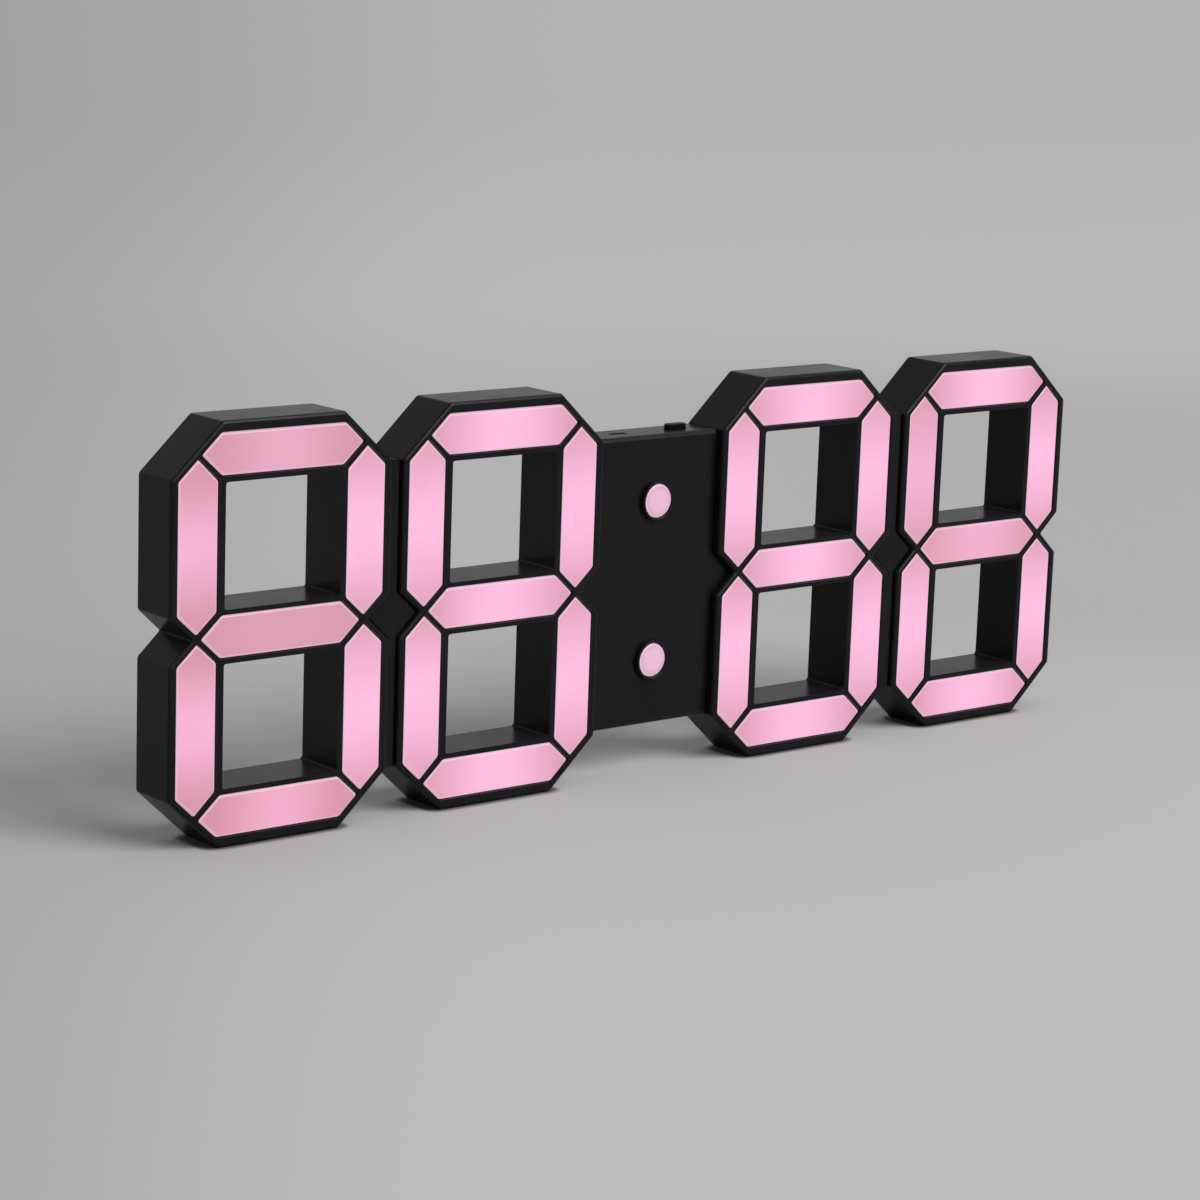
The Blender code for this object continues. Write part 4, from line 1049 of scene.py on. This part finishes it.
def setting_button(side):
    """Round button in the back, with a shallow dish in its end."""
    node = f"{side}_button"
    low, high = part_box(node)
    centre = middle_of(node)
    centre.y = 0
    flange = (high.x - low.x) / 2
    radius = REAR_BUTTON_RADIUS
    flange_front = REAR_FLANGE_BACK - REAR_FLANGE_THICKNESS
    profile = [(radius * share, high.y - depth) for share, depth in REAR_BUTTON_DISH]
    profile += [(radius, REAR_FLANGE_BACK), (flange, REAR_FLANGE_BACK)]
    profile += [(flange, flange_front), (radius, flange_front), (radius, low.y), (0, low.y)]
    shape = spin_profile(profile, centre, REAR_BUTTON_STEPS)
    return new_piece(shape, f"{side}_push_button", f"{side}_button", "black_plastic", button_black(), node)


def battery_lid():
    """Round battery door with a coin slot."""
    settings = bpy.context.scene.clock_cases
    node = "battery_door"
    shape = copy_shape(node)
    soften(shape, edges_at(shape, BACK, SQUARE_ANGLE), settings.fine_edge, segments=2, share=0.7)
    return new_piece(shape, "battery_lid", "battery_door", "black_plastic", case_black(), node)


def power_inlet():
    """Steel socket shell with a dark tongue, its faces inside the opening given the dark nylon as painted
    shade in the recess.
    """
    node = "power_socket"
    low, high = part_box(node)
    shape = copy_shape(node)
    soften(shape, top_rim(shape, high.z), INLET_EDGE, segments=2, share=0.6)
    piece = new_piece(shape, "power_inlet", "clock", "steel", plated_steel(), node)
    piece.data.materials.append(satin_nylon())
    middle = (low + high) / 2
    inner = (high - low) / 2 - Vector((INLET_WALL, INLET_WALL, 0))
    vertices = piece.data.vertices
    for face in piece.data.polygons:
        places = [vertices[index].co - middle for index in face.vertices]
        # Painted shade: faces within the shell's opening take the dark nylon, which colours the tongue and
        # darkens the recess
        in_recess = all(abs(place.x) < inner.x and abs(place.y) < inner.y for place in places)
        if in_recess and face.center.z < high.z - CLOSE:
            face.material_index = 1
    return piece


def dress(node, finish):
    """Give a solid that stays its finish."""
    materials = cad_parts[node].data.materials
    materials.clear()
    materials.append(finish)


# Stage

def view_axes():
    """The camera's right, up and backward directions."""
    back = Vector((
        math.sin(CAMERA_AZIMUTH) * math.cos(CAMERA_ELEVATION),
        -math.cos(CAMERA_AZIMUTH) * math.cos(CAMERA_ELEVATION),
        math.sin(CAMERA_ELEVATION),
    ))
    right = Vector((0, 0, 1)).cross(back).normalized()
    up = back.cross(right)
    turned_right = right * math.cos(CAMERA_ROLL) + up * math.sin(CAMERA_ROLL)
    turned_up = up * math.cos(CAMERA_ROLL) - right * math.sin(CAMERA_ROLL)
    return turned_right, turned_up, back


def add_camera():
    """Camera at the photograph's place and angle."""
    data = bpy.data.cameras.new("camera")
    data.lens = CAMERA_LENS
    data.sensor_width = SENSOR_WIDTH
    data.clip_start = 0.05
    data.clip_end = 200.0
    camera = add_object("camera", data)
    right, up, back = view_axes()
    turned = Matrix((right, up, back)).transposed().to_4x4()
    camera.matrix_world = Matrix.Translation(CAMERA_PLACE) @ turned
    bpy.context.scene.camera = camera


def floor_material(colour):
    """Pale floor with painted shade: darker far off, to the left and in a band behind the clock, with a
    painted contact shadow where the clock stands.
    """
    made, tree, shader = new_material("floor")
    place = object_place(tree)
    broad = noise(tree, place, 0.9, detail=2.0)
    depth = object_part(tree, "Y")
    far = remap(tree, depth, *FAR_RANGE)
    darker = [value * FAR_SHARE for value in colour]
    base = mix_colour(tree, far, colour, darker)
    from_camera = add(tree, "ShaderNodeVectorMath", {0: place, 1: CAMERA_PLACE}, operation="SUBTRACT")
    axes = [axis.to_2d().to_3d().normalized() for axis in view_axes()]
    inputs = [{0: from_camera.outputs[0], 1: axis} for axis in (axes[0], -axes[2])]
    sideways, away = (
        add(tree, "ShaderNodeVectorMath", pair, operation="DOT_PRODUCT").outputs["Value"] for pair in inputs
    )
    slant = calculate(tree, "DIVIDE", sideways, calculate(tree, "MAXIMUM", away, NEAREST_FLOOR))
    # Painted shade: darker to the left and in a band behind the clock
    left = remap(tree, slant, *LEFT_RANGE)
    band = calculate(tree, "MULTIPLY", remap(tree, away, *BAND_START), remap(tree, away, *BAND_END))
    band = calculate(tree, "MULTIPLY", band, remap(tree, slant, *BAND_DEPTH))
    # Painted contact shadow: the floor darkens where little is open round it, next to the clock
    openness = add(tree, "ShaderNodeAmbientOcclusion", {"Distance": CONTACT_SHADE_REACH}).outputs["AO"]
    contact_shade = remap(tree, openness, *CONTACT_SHADE_RANGE)
    for shade in (left, band, contact_shade):
        base = mix_colour(tree, shade, base, (0, 0, 0))
    fill(tree, shader, {
        "Base Color": base,
        "Roughness": remap(tree, broad, *NOISE_RANGE, 0.88, 0.92),
        "Specular IOR Level": 0.05,
    })
    return made


def add_floor(colour):
    """Large plain floor."""
    shape = bmesh.new()
    bmesh.ops.create_grid(shape, x_segments=FLOOR_CELLS, y_segments=FLOOR_CELLS, size=FLOOR_HALF)
    mesh = bpy.data.meshes.new("floor")
    shape.to_mesh(mesh)
    shape.free()
    mesh.materials.append(floor_material(colour))
    floor = add_object("floor", mesh)


def add_world(strength, colour):
    """Even white light from all round, seen as a darker shade of the floor's tone."""
    world = bpy.data.worlds.new("surroundings")
    bpy.context.scene.world = world
    world.use_nodes = True
    tree = world.node_tree
    tree.nodes.clear()
    light = add(tree, "ShaderNodeBackground", {"Color": (1, 1, 1, 1), "Strength": strength})
    seen = add(tree, "ShaderNodeBackground", {"Color": as_rgba(colour), "Strength": SEEN_SURROUNDINGS})
    path = add(tree, "ShaderNodeLightPath")
    either = calculate(tree, "MAXIMUM", path.outputs["Is Camera Ray"], path.outputs["Is Glossy Ray"])
    either = calculate(tree, "MAXIMUM", either, path.outputs["Is Transmission Ray"])
    mixed = add(tree, "ShaderNodeMixShader", {0: either, 1: light.outputs[0], 2: seen.outputs[0]})
    add(tree, "ShaderNodeOutputWorld", {"Surface": mixed.outputs[0]})


def add_lamp(strength, spread):
    """Wide soft lamp from the front, above and a little to the right."""
    data = bpy.data.lights.new("soft_lamp", "SUN")
    data.energy = strength
    data.angle = spread
    lamp = add_object("soft_lamp", data)
    lamp.matrix_world = LAMP_DIRECTION.to_track_quat("Z", "Y").to_matrix().to_4x4()


# Operators

class CLOCK_OT_digit_cases(bpy.types.Operator):
    """Make the four digit cases"""

    bl_idname = "clock.digit_cases"
    bl_label = "Digit cases"

    def execute(self, context):
        for number in DIGITS:
            digit_case(number)
        return {"FINISHED"}


class CLOCK_OT_segment_lenses(bpy.types.Operator):
    """Make the lit segment lenses of all digits"""

    bl_idname = "clock.segment_lenses"
    bl_label = "Segment lenses"

    def execute(self, context):
        for number in DIGITS:
            digit_lenses(number)
        return {"FINISHED"}


class CLOCK_OT_bridges(bpy.types.Operator):
    """Make the two narrow bridges"""

    bl_idname = "clock.bridges"
    bl_label = "Bridges"

    def execute(self, context):
        for side in SIDES:
            link_piece(side)
        return {"FINISHED"}


class CLOCK_OT_centre_case(bpy.types.Operator):
    """Make the centre case with its collars"""

    bl_idname = "clock.centre_case"
    bl_label = "Centre case"

    def execute(self, context):
        centre_case()
        return {"FINISHED"}


class CLOCK_OT_colon_dots(bpy.types.Operator):
    """Make the two round colon lenses"""

    bl_idname = "clock.colon_dots"
    bl_label = "Colon dots"

    def execute(self, context):
        for side in ("upper", "lower"):
            colon_dot(side)
        return {"FINISHED"}


class CLOCK_OT_rear_covers(bpy.types.Operator):
    """Make the five rear covers"""

    bl_idname = "clock.rear_covers"
    bl_label = "Rear covers"

    def execute(self, context):
        for number in DIGITS:
            rear_cover(f"digit_{number}_rear_cover", f"digit_{number}_back")
        rear_cover("centre_rear_cover", "centre_back")
        return {"FINISHED"}


class CLOCK_OT_screws(bpy.types.Operator):
    """Make the twelve screws"""

    bl_idname = "clock.screws"
    bl_label = "Screws"

    def execute(self, context):
        nodes = [f"digit_{number}_{place}_screw" for number in DIGITS for place in ("upper", "lower")]
        nodes += [f"centre_screw_{number}" for number in DIGITS]
        for node in nodes:
            new_piece(screw_shape(node), f"{node}_piece", "clock", "steel", plated_steel(), node)
        return {"FINISHED"}


class CLOCK_OT_buttons(bpy.types.Operator):
    """Make the top button and the two setting buttons"""

    bl_idname = "clock.buttons"
    bl_label = "Buttons"

    def execute(self, context):
        push_button()
        for side in ("minus", "plus"):
            setting_button(side)
        return {"FINISHED"}


class CLOCK_OT_battery_lid(bpy.types.Operator):
    """Make the battery door"""

    bl_idname = "clock.battery_lid"
    bl_label = "Battery door"

    def execute(self, context):
        battery_lid()
        return {"FINISHED"}


class CLOCK_OT_power_inlet(bpy.types.Operator):
    """Make the power socket"""

    bl_idname = "clock.power_inlet"
    bl_label = "Power socket"

    def execute(self, context):
        power_inlet()
        return {"FINISHED"}


class CLOCK_OT_inner_parts(bpy.types.Operator):
    """Finish the light boxes, boards, ribbons, switches and cell"""

    bl_idname = "clock.inner_parts"
    bl_label = "Inner parts"

    def execute(self, context):
        led_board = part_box("digit_1_led_board")
        led_mask = solder_mask("led_board", led_board[0].y + PACKAGE_HEIGHT, led_board[1].y - CLOSE)
        for number in DIGITS:
            dress(f"digit_{number}_light_box", white_moulding())
            dress(f"digit_{number}_led_board", led_mask)
        main_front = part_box("main_board")[0].y + PACKAGE_HEIGHT
        main_back = main_front + MAIN_BOARD_THICKNESS
        dress("main_board", solder_mask("main_board", main_front, main_back - CLOSE))
        for side in SIDES:
            for place in ("outer", "inner"):
                dress(f"{side}_{place}_ribbon", ribbon_grey())
        for node in ("top_switch", "minus_switch", "plus_switch", "buzzer", "cell_holder"):
            dress(node, satin_nylon())
        for place in ("top", "minus", "plus"):
            dress(f"{place}_switch_plunger", satin_nylon())
        dress("coin_cell", plated_steel())
        return {"FINISHED"}


class CLOCK_OT_stage(bpy.types.Operator):
    """Make the floor, the light and the camera"""

    bl_idname = "clock.stage"
    bl_label = "Stage"

    def execute(self, context):
        settings = context.scene.clock_stage
        add_floor(settings.floor)
        add_world(settings.surroundings, settings.floor)
        add_lamp(settings.lamp_strength, settings.lamp_spread)
        add_camera()
        context.scene.view_settings.view_transform = "Standard"
        return {"FINISHED"}


class CLOCK_PT_panel(bpy.types.Panel):
    """Panel that lists the clock's pieces and settings"""

    bl_idname = "CLOCK_PT_panel"
    bl_label = "LED Wall Clock"
    bl_space_type = "VIEW_3D"
    bl_region_type = "UI"
    bl_category = "Clock"

    def draw(self, context):
        for operator in OPERATORS:
            self.layout.operator(operator.bl_idname)
        for name in SETTINGS:
            settings = getattr(context.scene, name)
            box = self.layout.box()
            for label in settings.__annotations__:
                box.prop(settings, label)


OPERATORS = (
    CLOCK_OT_digit_cases,
    CLOCK_OT_segment_lenses,
    CLOCK_OT_bridges,
    CLOCK_OT_centre_case,
    CLOCK_OT_colon_dots,
    CLOCK_OT_rear_covers,
    CLOCK_OT_screws,
    CLOCK_OT_buttons,
    CLOCK_OT_battery_lid,
    CLOCK_OT_power_inlet,
    CLOCK_OT_inner_parts,
    CLOCK_OT_stage,
)
SETTINGS = {
    "clock_cases": CaseSettings,
    "clock_lenses": LensSettings,
    "clock_fixings": FixingSettings,
    "clock_stage": StageSettings,
}


def register():
    """Register the settings, the operators and the panel."""
    for name, settings in SETTINGS.items():
        bpy.utils.register_class(settings)
        setattr(bpy.types.Scene, name, PointerProperty(type=settings))
    for operator in OPERATORS:
        bpy.utils.register_class(operator)
    bpy.utils.register_class(CLOCK_PT_panel)


def unregister():
    """Take everything out again."""
    bpy.utils.unregister_class(CLOCK_PT_panel)
    for operator in reversed(OPERATORS):
        bpy.utils.unregister_class(operator)
    for name, settings in SETTINGS.items():
        delattr(bpy.types.Scene, name)
        bpy.utils.unregister_class(settings)


def main():
    """Make every piece."""
    register()
    for operator in OPERATORS:
        group, name = operator.bl_idname.split(".")
        getattr(getattr(bpy.ops, group), name)()


if __name__ == "__main__":
    main()
